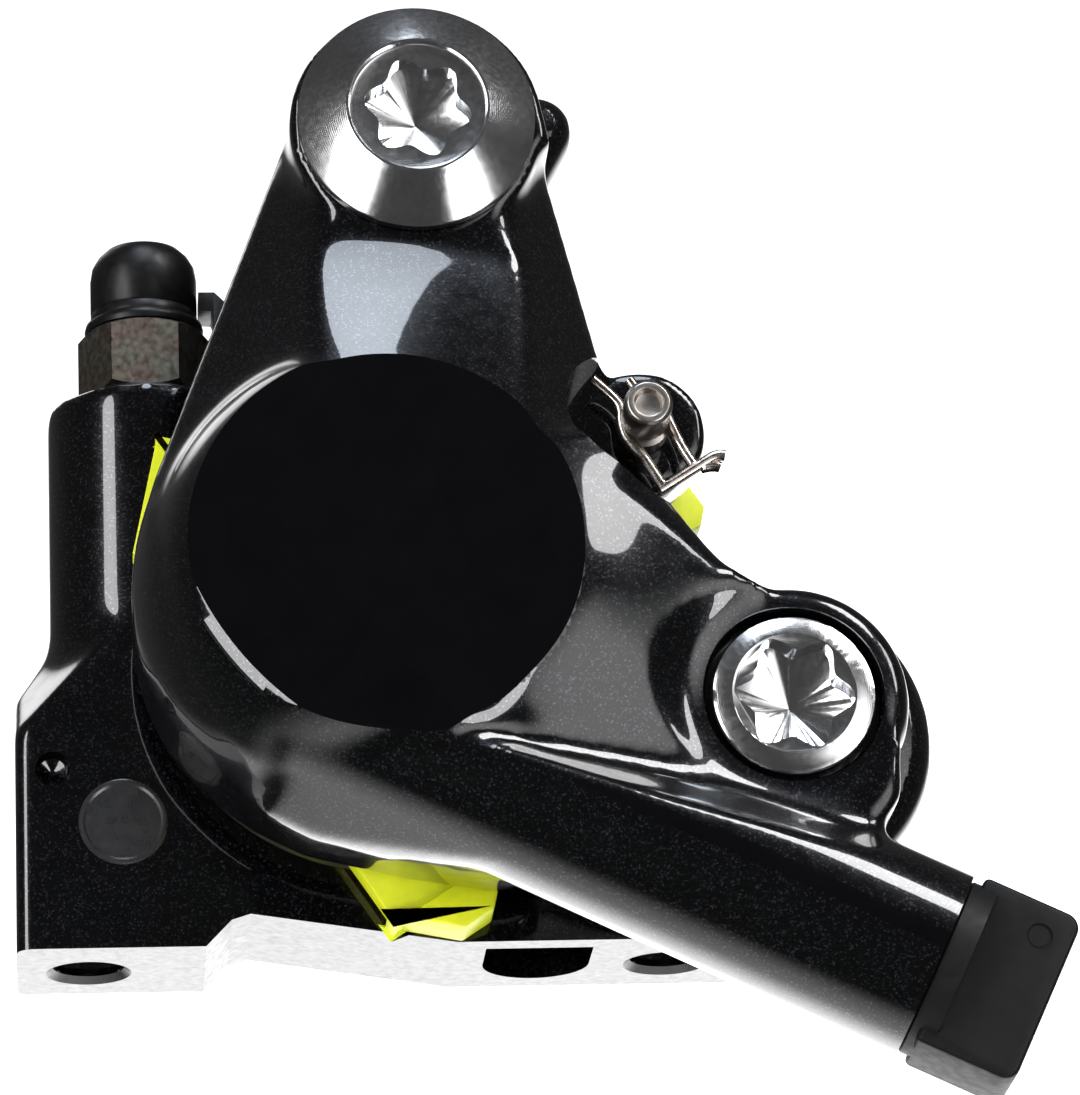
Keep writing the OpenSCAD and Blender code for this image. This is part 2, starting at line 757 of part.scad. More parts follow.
inboard_half();
outboard_half();
upper_body_bolt();
lower_body_bolt();
crossover_o_ring();
inboard_piston();
outboard_piston();
inboard_piston_seal();
outboard_piston_seal();
inboard_pad_plate();
inboard_pad_lining();
outboard_pad_plate();
outboard_pad_lining();
pad_spring();
pad_axle();
axle_clip();
bleed_nipple();
bleed_cap();
bleed_cap_strap();
pad_spacer();
port_plug();
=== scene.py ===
"""Looks of a flat-mount bicycle disc brake caliper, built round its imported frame.

Lengths are in millimetres until a piece is finished. X runs along the row of mount holes
towards the hose port, Y towards the outboard side and Z up. A depth is measured from the
middle of the rotor slot, towards either side.
"""

import logging
import math
from dataclasses import dataclass
from enum import Enum
from typing import Callable, Optional, Sequence

import bpy
import numpy as np
from mathutils import Matrix, Vector


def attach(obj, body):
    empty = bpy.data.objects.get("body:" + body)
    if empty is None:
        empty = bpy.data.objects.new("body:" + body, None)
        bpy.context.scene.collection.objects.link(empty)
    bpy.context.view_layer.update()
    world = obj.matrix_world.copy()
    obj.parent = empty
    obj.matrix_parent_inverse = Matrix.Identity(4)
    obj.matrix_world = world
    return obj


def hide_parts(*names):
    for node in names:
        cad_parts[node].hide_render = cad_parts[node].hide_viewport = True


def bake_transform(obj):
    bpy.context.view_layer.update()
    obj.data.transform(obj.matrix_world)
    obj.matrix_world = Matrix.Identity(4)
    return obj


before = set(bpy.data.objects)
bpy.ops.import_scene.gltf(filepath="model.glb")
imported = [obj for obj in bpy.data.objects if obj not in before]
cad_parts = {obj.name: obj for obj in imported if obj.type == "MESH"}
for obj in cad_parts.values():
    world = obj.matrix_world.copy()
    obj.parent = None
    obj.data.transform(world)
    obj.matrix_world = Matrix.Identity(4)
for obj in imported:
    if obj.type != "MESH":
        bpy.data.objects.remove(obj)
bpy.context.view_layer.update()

LOG = logging.getLogger("caliper")
MM = 0.001
ROOT = "caliper_body"
RIM_STEPS = 4
WIRE_SIDES = 4
NORMAL_ROUNDS = 4
WAVE_PERIOD = 0.314
NOISE_SPAN = (0.3, 0.7)
LATHE_TURN = (90.0, 0.0, 0.0)

Shape = bpy.types.Object
Socket = bpy.types.NodeSocket
Pair = tuple[float, float]
Triple = tuple[float, float, float]
Shade = Triple
Outline = list[Pair]
Profile = Sequence[Pair]
FaceTest = Callable[[np.ndarray, np.ndarray], np.ndarray]


class Heading(Enum):
    """Ways that a piece's own axis points: the third axis of the frame it is drawn in."""

    INBOARD = "towards -Y, from the middle of the slot"
    OUTBOARD = "towards +Y, from the middle of the slot"
    UP = "towards +Z, from the mount face"
    PORT = "out of the hose port, from the end of its tube"


class Cut(Enum):
    """What a boolean does with its second shape."""

    AWAY = "DIFFERENCE"
    ADD = "UNION"
    KEEP = "INTERSECT"


@dataclass(frozen=True)
class Layout:
    """Places that the pieces share."""

    rotor_y: float = -7.25  # Middle of the rotor slot
    slot: float = 1.75  # Half the width of the slot
    piston: Pair = (0.5, 18.0)  # Piston axis, as X and Z
    rotor: Pair = (-49.842, -7.650)  # Rotor axis, as X and Z
    rim: float = 71.3  # Radius of the room for the rotor
    upper: Pair = (2.608, 45.817)  # Axis of the upper body bolt
    lower: Pair = (22.927, 10.088)  # Axis of the lower body bolt
    axle: Pair = (15.397, 27.698)  # Axis of the pad axle
    port: Triple = (30.2, -18.5, -5.5)  # End of the hose port's tube
    port_tilt: float = 26.0  # Tilt of the tube below X, in degrees
    bleed: Pair = (-13.15, 0.5)  # Axis of the bleed valve, as X and Y
    mount: float = 17.0  # Distance of each mount hole from the origin
    arm: float = 11.75  # Depth of the arms' outer faces
    face: float = 16.75  # Depth of the housings' end faces

    def pad_direction(self) -> Pair:
        """Gives the unit direction from the piston to the pad axle."""
        run = Vector(self.axle) - Vector(self.piston)
        return tuple(run.normalized())

    def pad_point(self, u: float, v: float) -> Pair:
        """Places a point of the pads' own frame: u along their slide and v across it."""
        along = self.pad_direction()
        return (
            self.piston[0] + u * along[0] - v * along[1],
            self.piston[1] + u * along[1] + v * along[0],
        )

    def pad_box(self, start: float, end: float, half: float) -> Outline:
        """Gives a rectangle of the pads' own frame, between two places along their slide."""
        corners = ((start, -half), (end, -half), (end, half), (start, half))
        return [self.pad_point(u, v) for u, v in corners]

    def matrix(self, heading: Heading) -> Matrix:
        """Gives the matrix from a heading's own frame to the part's frame.

        Args:
            heading: The frame that a piece is drawn in.

        Returns:
            The 4 by 4 matrix, in millimetres.
        """
        if heading is Heading.UP:
            return Matrix.Identity(4)
        if heading is Heading.PORT:
            tilt = math.radians(self.port_tilt)
            c, s = math.cos(tilt), math.sin(tilt)
            x, y, z = self.port
            return Matrix(((s, 0, c, x), (0, -1, 0, y), (c, 0, -s, z), (0, 0, 0, 1)))
        way = -1 if heading is Heading.INBOARD else 1
        return Matrix(((1, 0, 0, 0), (0, 0, way, self.rotor_y), (0, 1, 0, 0), (0, 0, 0, 1)))


LAYOUT = Layout()


def deselect() -> None:
    """Leaves edit mode and deselects every object."""
    if bpy.context.object and bpy.context.object.mode != "OBJECT":
        bpy.ops.object.mode_set(mode="OBJECT")
    bpy.ops.object.select_all(action="DESELECT")


def pick(obj: Shape) -> None:
    """Makes one object the selected and active one."""
    deselect()
    obj.select_set(True)
    bpy.context.view_layer.objects.active = obj


def coordinates(obj: Shape) -> np.ndarray:
    """Reads the places of a mesh's points as an array of rows."""
    flat = np.empty(len(obj.data.vertices) * 3)
    obj.data.vertices.foreach_get("co", flat)
    return flat.reshape(-1, 3)


def move_points(obj: Shape, places: np.ndarray) -> None:
    """Writes the places of a mesh's points."""
    obj.data.vertices.foreach_set("co", np.ascontiguousarray(places, float).ravel())
    obj.data.update()


def face_arrays(obj: Shape) -> tuple[np.ndarray, np.ndarray]:
    """Reads the centres and normals of a mesh's faces.

    Args:
        obj: The mesh.

    Returns:
        Two arrays of rows: centres and normals.
    """
    count = len(obj.data.polygons)
    centres, normals = np.empty(count * 3), np.empty(count * 3)
    obj.data.polygons.foreach_get("center", centres)
    obj.data.polygons.foreach_get("normal", normals)
    return centres.reshape(-1, 3), normals.reshape(-1, 3)


def close_up(obj: Shape) -> None:
    """Merges doubled points and turns all faces outwards."""
    pick(obj)
    bpy.ops.object.mode_set(mode="EDIT")
    bpy.ops.mesh.select_all(action="SELECT")
    bpy.ops.mesh.remove_doubles(threshold=1e-4)
    bpy.ops.mesh.normals_make_consistent(inside=False)
    bpy.ops.object.mode_set(mode="OBJECT")


def stand(obj: Shape, heading: Heading, centre: Sequence[float] = (0, 0)) -> Shape:
    """Takes a shape from its own frame to the part's frame.

    Args:
        obj: The shape, drawn about the third axis of its own frame.
        heading: That frame.
        centre: Place of the shape's own axis in the frame's first two axes.

    Returns:
        The same object.
    """
    place = LAYOUT.matrix(heading) @ Matrix.Translation((centre[0], centre[1], 0))
    obj.data.transform(place)
    close_up(obj)
    return obj


def turned(
    name: str,
    profile: Profile,
    heading: Heading = Heading.INBOARD,
    centre: Sequence[float] = (0, 0),
    sides: int = 96,
    turn: float = 0.0,
) -> Shape:
    """Turns a closed solid: one end face is extruded and resized step by step.

    Args:
        name: Name of the new object.
        profile: Radius and height at each step, from one end to the other.
        heading: Frame that the solid's axis belongs to.
        centre: Place of the axis in that frame.
        sides: Number of sides.
        turn: Turn about the axis, in degrees.

    Returns:
        The new solid.
    """
    radius, height = profile[0]
    deselect()
    start = (0, 0, height)
    bpy.ops.mesh.primitive_circle_add(vertices=sides, radius=radius, fill_type="NGON", location=start)
    obj = bpy.context.object
    obj.name = name
    bpy.ops.object.transform_apply(location=True, rotation=True, scale=True)
    bpy.ops.object.mode_set(mode="EDIT")
    bpy.ops.mesh.select_mode(type="FACE")
    bpy.ops.mesh.select_all(action="SELECT")
    for next_radius, next_height in profile[1:]:
        ratio = next_radius / radius
        bpy.ops.mesh.extrude_region_move(TRANSFORM_OT_translate={"value": (0, 0, next_height - height)})
        bpy.ops.transform.resize(value=(ratio, ratio, 1), center_override=(0, 0, next_height))
        radius, height = next_radius, next_height
    bpy.ops.object.mode_set(mode="OBJECT")
    if turn:
        obj.data.transform(Matrix.Rotation(math.radians(turn), 4, "Z"))
    return stand(obj, heading, centre)


def rod(
    radius: float,
    low: float,
    high: float,
    heading: Heading = Heading.INBOARD,
    centre: Sequence[float] = (0, 0),
    sides: int = 96,
) -> Shape:
    """Turns a plain round rod between two heights."""
    return turned("rod", [(radius, low), (radius, high)], heading, centre, sides)


def slab(
    name: str,
    outline: Outline,
    low: float,
    high: float,
    heading: Heading = Heading.INBOARD,
    rim: float = 0.0,
) -> Shape:
    """Extrudes an outline between two depths, with its outer rim rounded where asked.

    Args:
        name: Name of the new object.
        outline: Corners in the first two axes of the frame.
        low: First depth.
        high: Second depth.
        heading: Frame that the outline is drawn in.
        rim: Radius of the rounded rim at the second depth.

    Returns:
        The new solid.
    """
    deselect()
    bpy.ops.mesh.primitive_circle_add(vertices=len(outline), radius=1, fill_type="NGON")
    obj = bpy.context.object
    obj.name = name
    move_points(obj, np.array([(x, z, low) for x, z in outline]))
    bpy.ops.object.mode_set(mode="EDIT")
    bpy.ops.mesh.select_mode(type="FACE")
    bpy.ops.mesh.select_all(action="SELECT")
    bpy.ops.mesh.extrude_region_move(TRANSFORM_OT_translate={"value": (0, 0, high - low)})
    if rim:
        bpy.ops.mesh.bevel(offset=rim, segments=RIM_STEPS, affect="EDGES", clamp_overlap=False)
    bpy.ops.object.mode_set(mode="OBJECT")
    return stand(obj, heading)


def hull(name: str, points: Sequence[Sequence[float]], heading: Heading = Heading.INBOARD) -> Shape:
    """Makes the tightest solid without hollows round several points.

    Args:
        name: Name of the new object.
        points: The points.
        heading: Frame that they are given in.

    Returns:
        The new solid.
    """
    deselect()
    bpy.ops.mesh.primitive_circle_add(vertices=len(points), radius=1, fill_type="NOTHING")
    obj = bpy.context.object
    obj.name = name
    move_points(obj, np.array(points))
    bpy.ops.object.mode_set(mode="EDIT")
    bpy.ops.mesh.select_all(action="SELECT")
    bpy.ops.mesh.convex_hull()
    bpy.ops.object.mode_set(mode="OBJECT")
    return stand(obj, heading)


def beyond(
    point: Sequence[float],
    normal: Sequence[float],
    heading: Heading = Heading.INBOARD,
    size: float = 90.0,
) -> Shape:
    """Makes a large block whose face lies on a plane, as a cutter for flat facets.

    Args:
        point: A point on the plane.
        normal: Direction from the plane to the block.
        heading: Frame that both are given in.
        size: Size of the block.

    Returns:
        The block.
    """
    deselect()
    bpy.ops.mesh.primitive_cube_add(size=size)
    obj = bpy.context.object
    way = Vector(normal).normalized()
    turn = np.array(way.to_track_quat("Z", "Y").to_matrix())
    move_points(obj, coordinates(obj) @ turn.T + np.array(point) + np.array(way) * size / 2)
    return stand(obj, heading)


def carve(obj: Shape, *others: Shape, cut: Cut = Cut.AWAY) -> Shape:
    """Cuts one solid with others in turn, or joins them, and removes the others.

    Args:
        obj: Solid that is changed.
        *others: Solids that change it.
        cut: What is done.

    Returns:
        The changed solid.
    """
    for other in others:
        pick(obj)
        modifier = obj.modifiers.new("cut", "BOOLEAN")
        modifier.operation = cut.value
        modifier.solver = "MANIFOLD"
        modifier.object = other
        bpy.ops.object.modifier_apply(modifier=modifier.name)
        bpy.data.objects.remove(other, do_unlink=True)
    return obj


def fused(
    name: str,
    parts: Sequence[Shape],
    voxel: float,
    settling: Sequence[tuple[int, float, float]],
) -> Shape:
    """Melts overlapping solids into one closed skin, with fillets in its hollows.

    Args:
        name: Name of the result.
        parts: The solids.
        voxel: Size of the skin's faces.
        settling: Passes that settle the skin: rounds, and shares in hollows and on crests.

    Returns:
        The skin.
    """
    deselect()
    for part in parts:
        part.select_set(True)
    bpy.context.view_layer.objects.active = parts[0]
    bpy.ops.object.join()
    obj = bpy.context.object
    obj.name = name
    modifier = obj.modifiers.new("skin", "REMESH")
    modifier.mode = "VOXEL"
    modifier.voxel_size = voxel
    bpy.ops.object.modifier_apply(modifier=modifier.name)
    for rounds, hollow, crest in settling:
        settle(obj, rounds, hollow, crest)
    return obj


def point_normals(places: np.ndarray, quads: np.ndarray) -> np.ndarray:
    """Gives a quad mesh's normals at its points.

    Args:
        places: Places of the points.
        quads: Point numbers of each face.

    Returns:
        Unit normals, one row per point.
    """
    corner = places[quads]
    across = np.cross(corner[:, 2] - corner[:, 0], corner[:, 3] - corner[:, 1])
    normals = np.zeros_like(places)
    for column in range(4):
        for axis in range(3):
            normals[:, axis] += np.bincount(quads[:, column], across[:, axis], len(places))
    return normals / np.maximum(np.linalg.norm(normals, axis=1, keepdims=True), 1e-12)


def settle(obj: Shape, rounds: int, hollow: float, crest: float) -> None:
    """Rolls fillets into the hollows of a cast skin and softens its crests.

    Args:
        obj: A skin of four-sided faces.
        rounds: Number of rounds.
        hollow: Share of the way to its neighbours' mean that a point in a hollow moves.
        crest: The same for a point on a crest.
    """
    places = coordinates(obj)
    ends = np.empty(len(obj.data.edges) * 2, int)
    obj.data.edges.foreach_get("vertices", ends)
    a, b = ends[::2], ends[1::2]
    quads = np.empty(len(obj.data.polygons) * 4, int)
    obj.data.polygons.foreach_get("vertices", quads)
    quads = quads.reshape(-1, 4)
    links = np.maximum(np.bincount(ends, minlength=len(places)), 1)[:, None]
    for turn in range(rounds):
        if turn % NORMAL_ROUNDS == 0:
            normals = point_normals(places, quads)
        mean = np.empty_like(places)
        for axis, column in enumerate(places.T):
            mean[:, axis] = np.bincount(a, column[b], len(places)) + np.bincount(b, column[a], len(places))
        step = mean / links - places
        rise = (step * normals).sum(axis=1)
        places += step * np.where(rise > 0, hollow, crest)[:, None]
    move_points(obj, places)


def bevelled(obj: Shape, width: float, steps: int = 2, angle: float = 35.0) -> Shape:
    """Breaks a solid's sharp edges.

    Args:
        obj: The solid.
        width: Width of the broken edge.
        steps: Number of steps in it.
        angle: Least angle of an edge that is broken, in degrees.

    Returns:
        The same solid.
    """
    pick(obj)
    modifier = obj.modifiers.new("edge", "BEVEL")
    modifier.width = width
    modifier.segments = steps
    modifier.limit_method = "ANGLE"
    modifier.angle_limit = math.radians(angle)
    bpy.ops.object.modifier_apply(modifier=modifier.name)
    return obj


def wire(name: str, path: Sequence[Sequence[float]], radius: float) -> Shape:
    """Bends a round wire along a path.

    Args:
        name: Name of the new object.
        path: Points of the path, in the part's frame.
        radius: Radius of the wire.

    Returns:
        The wire as a mesh.
    """
    deselect()
    bpy.ops.curve.primitive_nurbs_path_add()
    obj = bpy.context.object
    obj.name = name
    curve = obj.data
    curve.splines.clear()
    spline = curve.splines.new("NURBS")
    spline.points.add(len(path) - 1)
    for point, place in zip(spline.points, path):
        point.co = (*place, 1)
    spline.use_endpoint_u = True
    spline.order_u = 3
    spline.resolution_u = 6
    curve.dimensions = "3D"
    curve.bevel_depth = radius
    curve.bevel_resolution = WIRE_SIDES
    curve.use_fill_caps = True
    bpy.ops.object.convert(target="MESH")
    obj = bpy.context.object
    close_up(obj)
    return obj


def ring_outline(centre: Sequence[float], radius: float, start: float, end: float, count: int) -> Outline:
    """Gives points on an arc, with its angles in degrees."""
    angles = [math.radians(start + (end - start) * i / (count - 1)) for i in range(count)]
    return [(centre[0] + radius * math.cos(t), centre[1] + radius * math.sin(t)) for t in angles]


def wrapped(circles: Sequence[tuple[Sequence[float], float]], count: int = 72) -> Outline:
    """Gives the tight outline round several circles.

    Args:
        circles: Centre and radius of each.
        count: Points taken on each circle.

    Returns:
        The outline's corners in order.
    """
    points = sorted({p for c, r in circles for p in ring_outline(c, r, 0, 360 * (1 - 1 / count), count)})

    def half(run: Sequence[Pair]) -> Outline:
        """Gives one side of the outline."""
        side: Outline = []
        for p in run:
            while len(side) > 1:
                (ax, ay), (bx, by) = side[-2], side[-1]
                if (bx - ax) * (p[1] - ay) - (by - ay) * (p[0] - ax) > 1e-9:
                    break
                side.pop()
            side.append(p)
        return side[:-1]

    return half(points) + half(points[::-1])


def threads(radius: float, start: float, end: float, pitch: float, depth: float) -> list[Pair]:
    """Gives a turned profile that waves like a thread.

    Args:
        radius: Core radius.
        start: First height.
        end: Last height.
        pitch: Distance from crest to crest.
        depth: How much the radius grows at a crest.

    Returns:
        The profile's steps.
    """
    count = max(1, int(abs(end - start) / pitch))
    step = (end - start) / count
    profile = []
    for i in range(count):
        profile += [(radius, start + i * step), (radius + depth, start + (i + 0.5) * step)]
    return profile + [(radius, end)]


class Graph:
    """A material under construction."""

    def __init__(self, name: str) -> None:
        """Starts an empty material with its shader."""
        self.material = bpy.data.materials.new(name)
        self.material.use_nodes = True
        self.tree = self.material.node_tree
        self.shader = self.tree.nodes["Principled BSDF"]

    def add(self, kind: str, **settings: object) -> bpy.types.Node:
        """Adds a node and sets its fields."""
        node = self.tree.nodes.new(kind)
        for key, value in settings.items():
            setattr(node, key, value)
        return node

    def link(self, out: Socket, into: Socket) -> None:
        """Links two sockets."""
        self.tree.links.new(out, into)

    def set(self, **values: object) -> None:
        """Sets the shader's own sockets, named with underscores."""
        for key, value in values.items():
            self.shader.inputs[key.replace("_", " ")].default_value = value

    def millimetres(self, centre: Triple = (0, 0, 0), turn: Triple = (0, 0, 0)) -> Socket:
        """Gives the place on the piece in millimetres.

        Args:
            centre: Point that becomes the origin, in millimetres.
            turn: Turn of the axes, in degrees.

        Returns:
            The vector socket.
        """
        source = self.add("ShaderNodeTexCoord")
        mapping = self.add("ShaderNodeMapping", vector_type="TEXTURE")
        mapping.inputs["Location"].default_value = [c * MM for c in centre]
        mapping.inputs["Rotation"].default_value = [math.radians(t) for t in turn]
        mapping.inputs["Scale"].default_value = (MM, MM, MM)
        self.link(source.outputs["Object"], mapping.inputs["Vector"])
        return mapping.outputs["Vector"]

    def noise(self, place: Socket, scale: float, detail: float) -> Socket:
        """Adds a noise pattern and gives its value."""
        node = self.add("ShaderNodeTexNoise")
        node.inputs["Scale"].default_value = scale
        node.inputs["Detail"].default_value = detail
        self.link(place, node.inputs["Vector"])
        return node.outputs["Fac"]

    def ramp(self, value: Socket, low: float, high: float, start: object, end: object) -> Socket:
        """Maps a value between two limits to a colour or grey.

        Args:
            value: The value.
            low: Value that gives the start.
            high: Value that gives the end.
            start: Colour or grey at the low limit.
            end: Colour or grey at the high limit.

        Returns:
            The colour socket.
        """
        node = self.add("ShaderNodeValToRGB")
        stops = node.color_ramp.elements
        for stop, position, shade in ((stops[0], low, start), (stops[1], high, end)):
            stop.position = position
            stop.color = (shade, shade, shade, 1) if isinstance(shade, float) else (*shade, 1)
        self.link(value, node.inputs["Fac"])
        return node.outputs["Color"]

    def patches(
        self,
        into: str,
        place: Socket,
        scale: float,
        detail: float,
        shades: Sequence[object],
        span: Pair = NOISE_SPAN,
    ) -> None:
        """Feeds one of the shader's sockets from a noise pattern, whose span gives both shades."""
        colour = self.ramp(self.noise(place, scale, detail), *span, *shades)
        self.link(colour, self.shader.inputs[into])

    def bump(self, height: Socket, strength: float, distance: float) -> None:
        """Raises the surface by a height pattern, a distance in millimetres."""
        node = self.add("ShaderNodeBump")
        node.inputs["Strength"].default_value = strength
        node.inputs["Distance"].default_value = distance * MM
        self.link(height, node.inputs["Height"])
        self.link(node.outputs["Normal"], self.shader.inputs["Normal"])


@dataclass(frozen=True)
class FlakePaint:
    """Gloss paint with fine metal flakes under a clear coat."""

    name: str  # Name of the material
    base: Shade = (0.002, 0.002, 0.003)  # Colour of the paint
    flake: Shade = (0.045, 0.046, 0.058)  # Colour of a bright flake
    size: float = 0.09  # Size of a flake in millimetres
    gloss: float = 0.035  # Roughness of the clear coat
    under: float = 0.22  # Roughness of the layer of flakes

    def build(self) -> bpy.types.Material:
        """Makes the material."""
        g = Graph(self.name)
        place = g.millimetres()
        cells = g.add("ShaderNodeTexVoronoi")
        cells.inputs["Scale"].default_value = 1 / self.size
        g.link(place, cells.inputs["Vector"])
        grey = g.add("ShaderNodeSeparateColor")
        g.link(cells.outputs["Color"], grey.inputs["Color"])
        colour = g.ramp(grey.outputs["Red"], 0.82, 1.0, self.base, self.flake)
        g.link(colour, g.shader.inputs["Base Color"])
        g.patches("Roughness", place, 0.8, 3.0, (self.under - 0.04, self.under + 0.05))
        g.set(Metallic=0.75, Coat_Weight=1.0, Coat_Roughness=self.gloss, Coat_IOR=1.5)
        g.bump(grey.outputs["Green"], 0.05, 0.01)
        return g.material


@dataclass(frozen=True)
class Turned:
    """Metal with the rings that a lathe leaves."""

    name: str  # Name of the material
    axis: Triple  # Point on the turning axis
    colour: Shade = (0.68, 0.68, 0.69)  # Colour of the metal
    rough: float = 0.17  # Its roughness
    pitch: float = 0.11  # Distance between rings in millimetres
    depth: float = 0.002  # Depth of the rings in millimetres

    def build(self) -> bpy.types.Material:
        """Makes the material."""
        g = Graph(self.name)
        place = g.millimetres(self.axis, LATHE_TURN)
        rings = g.add("ShaderNodeTexWave", wave_type="RINGS", rings_direction="Z")
        rings.inputs["Scale"].default_value = WAVE_PERIOD / self.pitch
        rings.inputs["Distortion"].default_value = 0.4
        rings.inputs["Detail Scale"].default_value = 0.6
        g.link(place, rings.inputs["Vector"])
        dark = tuple(c * 0.9 for c in self.colour)
        g.patches("Base Color", place, 0.9, 4.0, (dark, self.colour), (0.3, 0.65))
        g.patches("Roughness", place, 3.5, 3.0, (self.rough - 0.02, self.rough + 0.04))
        g.set(Metallic=1.0)
        g.bump(rings.outputs["Fac"], 0.5, self.depth)
        return g.material


@dataclass(frozen=True)
class Milled:
    """Bare metal with straight cutter marks."""

    name: str  # Name of the material
    colour: Shade = (0.16, 0.16, 0.163)  # Colour of the metal
    rough: float = 0.3  # Its roughness
    pitch: float = 0.16  # Distance between marks in millimetres
    depth: float = 0.005  # Depth of the marks in millimetres

    def build(self) -> bpy.types.Material:
        """Makes the material."""
        g = Graph(self.name)
        place = g.millimetres()
        marks = g.add("ShaderNodeTexWave", wave_type="BANDS", bands_direction="X")
        marks.inputs["Scale"].default_value = WAVE_PERIOD / self.pitch
        marks.inputs["Distortion"].default_value = 1.2
        g.link(place, marks.inputs["Vector"])
        dark = tuple(c * 0.85 for c in self.colour)
        g.patches("Base Color", place, 0.7, 4.0, (dark, self.colour))
        g.patches("Roughness", place, 2.0, 3.0, (self.rough - 0.06, self.rough + 0.08))
        g.set(Metallic=1.0)
        g.bump(marks.outputs["Fac"], 0.4, self.depth)
        return g.material


@dataclass(frozen=True)
class Moulded:
    """Rubber, plastic, ceramic or pad compound with a fine grain."""

    name: str  # Name of the material
    colour: Shade  # Main colour
    shade: Shade  # Colour of its darker patches
    rough: float = 0.45  # Roughness
    grain: float = 0.12  # Size of the grain in millimetres
    depth: float = 0.01  # Depth of the grain in millimetres
    shine: float = 0.5  # Specular level
    soft: float = 0.0  # Share of light that passes under the surface

    def build(self) -> bpy.types.Material:
        """Makes the material."""
        g = Graph(self.name)
        place = g.millimetres()
        g.patches("Base Color", place, 0.6, 5.0, (self.shade, self.colour), (0.35, 0.65))
        g.patches("Roughness", place, 1.7, 3.0, (self.rough - 0.06, self.rough + 0.06))
        g.set(Specular_IOR_Level=self.shine)
        if self.soft:
            g.set(Subsurface_Weight=self.soft, Subsurface_Scale=0.8 * MM)
        g.bump(g.noise(place, 1 / self.grain, 2.0), 0.35, self.depth)
        return g.material


@dataclass(frozen=True)
class Plated:
    """Dull plated metal with patches of wear."""

    name: str  # Name of the material
    colour: Shade  # Colour of the plating
    worn: Shade  # Colour of the metal that shows through
    rough: float = 0.34  # Roughness

    def build(self) -> bpy.types.Material:
        """Makes the material."""
        g = Graph(self.name)
        place = g.millimetres()
        g.patches("Base Color", place, 0.55, 5.0, (self.colour, self.worn), (0.4, 0.62))
        g.patches("Roughness", place, 2.4, 4.0, (self.rough - 0.1, self.rough + 0.1))
        g.set(Metallic=1.0)
        g.bump(g.noise(place, 5.0, 3.0), 0.3, 0.01)
        return g.material


def bolt_axis(centre: Pair) -> Triple:
    """Gives a point on an axis that runs along Y."""
    return (centre[0], 0.0, centre[1])


class Finish:
    """The finishes of the part, each made once."""

    PAINT = FlakePaint("black_flake_paint")
    FACE = Moulded(
        "dark_end_face", (0.0016, 0.0016, 0.002), (0.0012, 0.0012, 0.0016), 0.6, depth=0.003, shine=0.02
    )
    MILLED = Milled("milled_foot_face")
    INNER = FlakePaint(
        "black_inner_faces", base=(0.005, 0.005, 0.005), flake=(0.02, 0.02, 0.02), gloss=0.2, under=0.5
    )
    UPPER_BOLT = Turned("upper_bolt_steel", bolt_axis(LAYOUT.upper))
    LOWER_BOLT = Turned("lower_bolt_steel", bolt_axis(LAYOUT.lower))
    AXLE = Turned("axle_steel", bolt_axis(LAYOUT.axle), colour=(0.42, 0.39, 0.36), rough=0.3)
    CLIP = Plated("clip_strip_steel", (0.58, 0.54, 0.5), (0.34, 0.29, 0.26), 0.25)
    SPRING = Plated("pad_spring_steel", (0.6, 0.6, 0.6), (0.45, 0.44, 0.42), 0.3)
    NIPPLE = Plated("nipple_plating", (0.2, 0.197, 0.16), (0.2, 0.155, 0.13), 0.4)
    RUBBER = Moulded("cap_rubber", (0.005, 0.005, 0.0055), (0.003, 0.003, 0.0035), 0.38, 0.16, 0.012, 0.25)
    SEAL = Moulded("seal_rubber", (0.02, 0.02, 0.02), (0.012, 0.012, 0.012), 0.5)
    PLUG = Moulded("plug_plastic", (0.006, 0.006, 0.0062), (0.004, 0.004, 0.0042), 0.5, 0.1, 0.02, 0.2)
    SPACER = Moulded("spacer_plastic", (0.72, 0.78, 0.012), (0.62, 0.68, 0.01), 0.42, 0.2, 0.01, 0.5, 0.2)
    CERAMIC = Moulded("piston_ceramic", (0.72, 0.68, 0.6), (0.64, 0.6, 0.53), 0.35, 0.08, 0.006)
    COMPOUND = Moulded("pad_compound", (0.12, 0.1, 0.085), (0.05, 0.045, 0.04), 0.8, 0.25, 0.06, 0.2)
    PLATE = Milled("pad_plate_steel", (0.42, 0.41, 0.39), 0.38, 0.22, 0.006)
    MARK = Moulded("foot_disc_metal", (0.018, 0.018, 0.019), (0.015, 0.015, 0.016), 0.3, 0.1, 0.003, 0.7)
    RECESS = Turned("recess_steel", bolt_axis(LAYOUT.upper), (0.74, 0.74, 0.75), rough=0.15, depth=0.0)

    _made: dict[str, bpy.types.Material] = {}

    @classmethod
    def get(cls, finish: object) -> bpy.types.Material:
        """Gives a finish's material, and makes it at its first use."""
        if finish.name not in cls._made:
            cls._made[finish.name] = finish.build()
        return cls._made[finish.name]


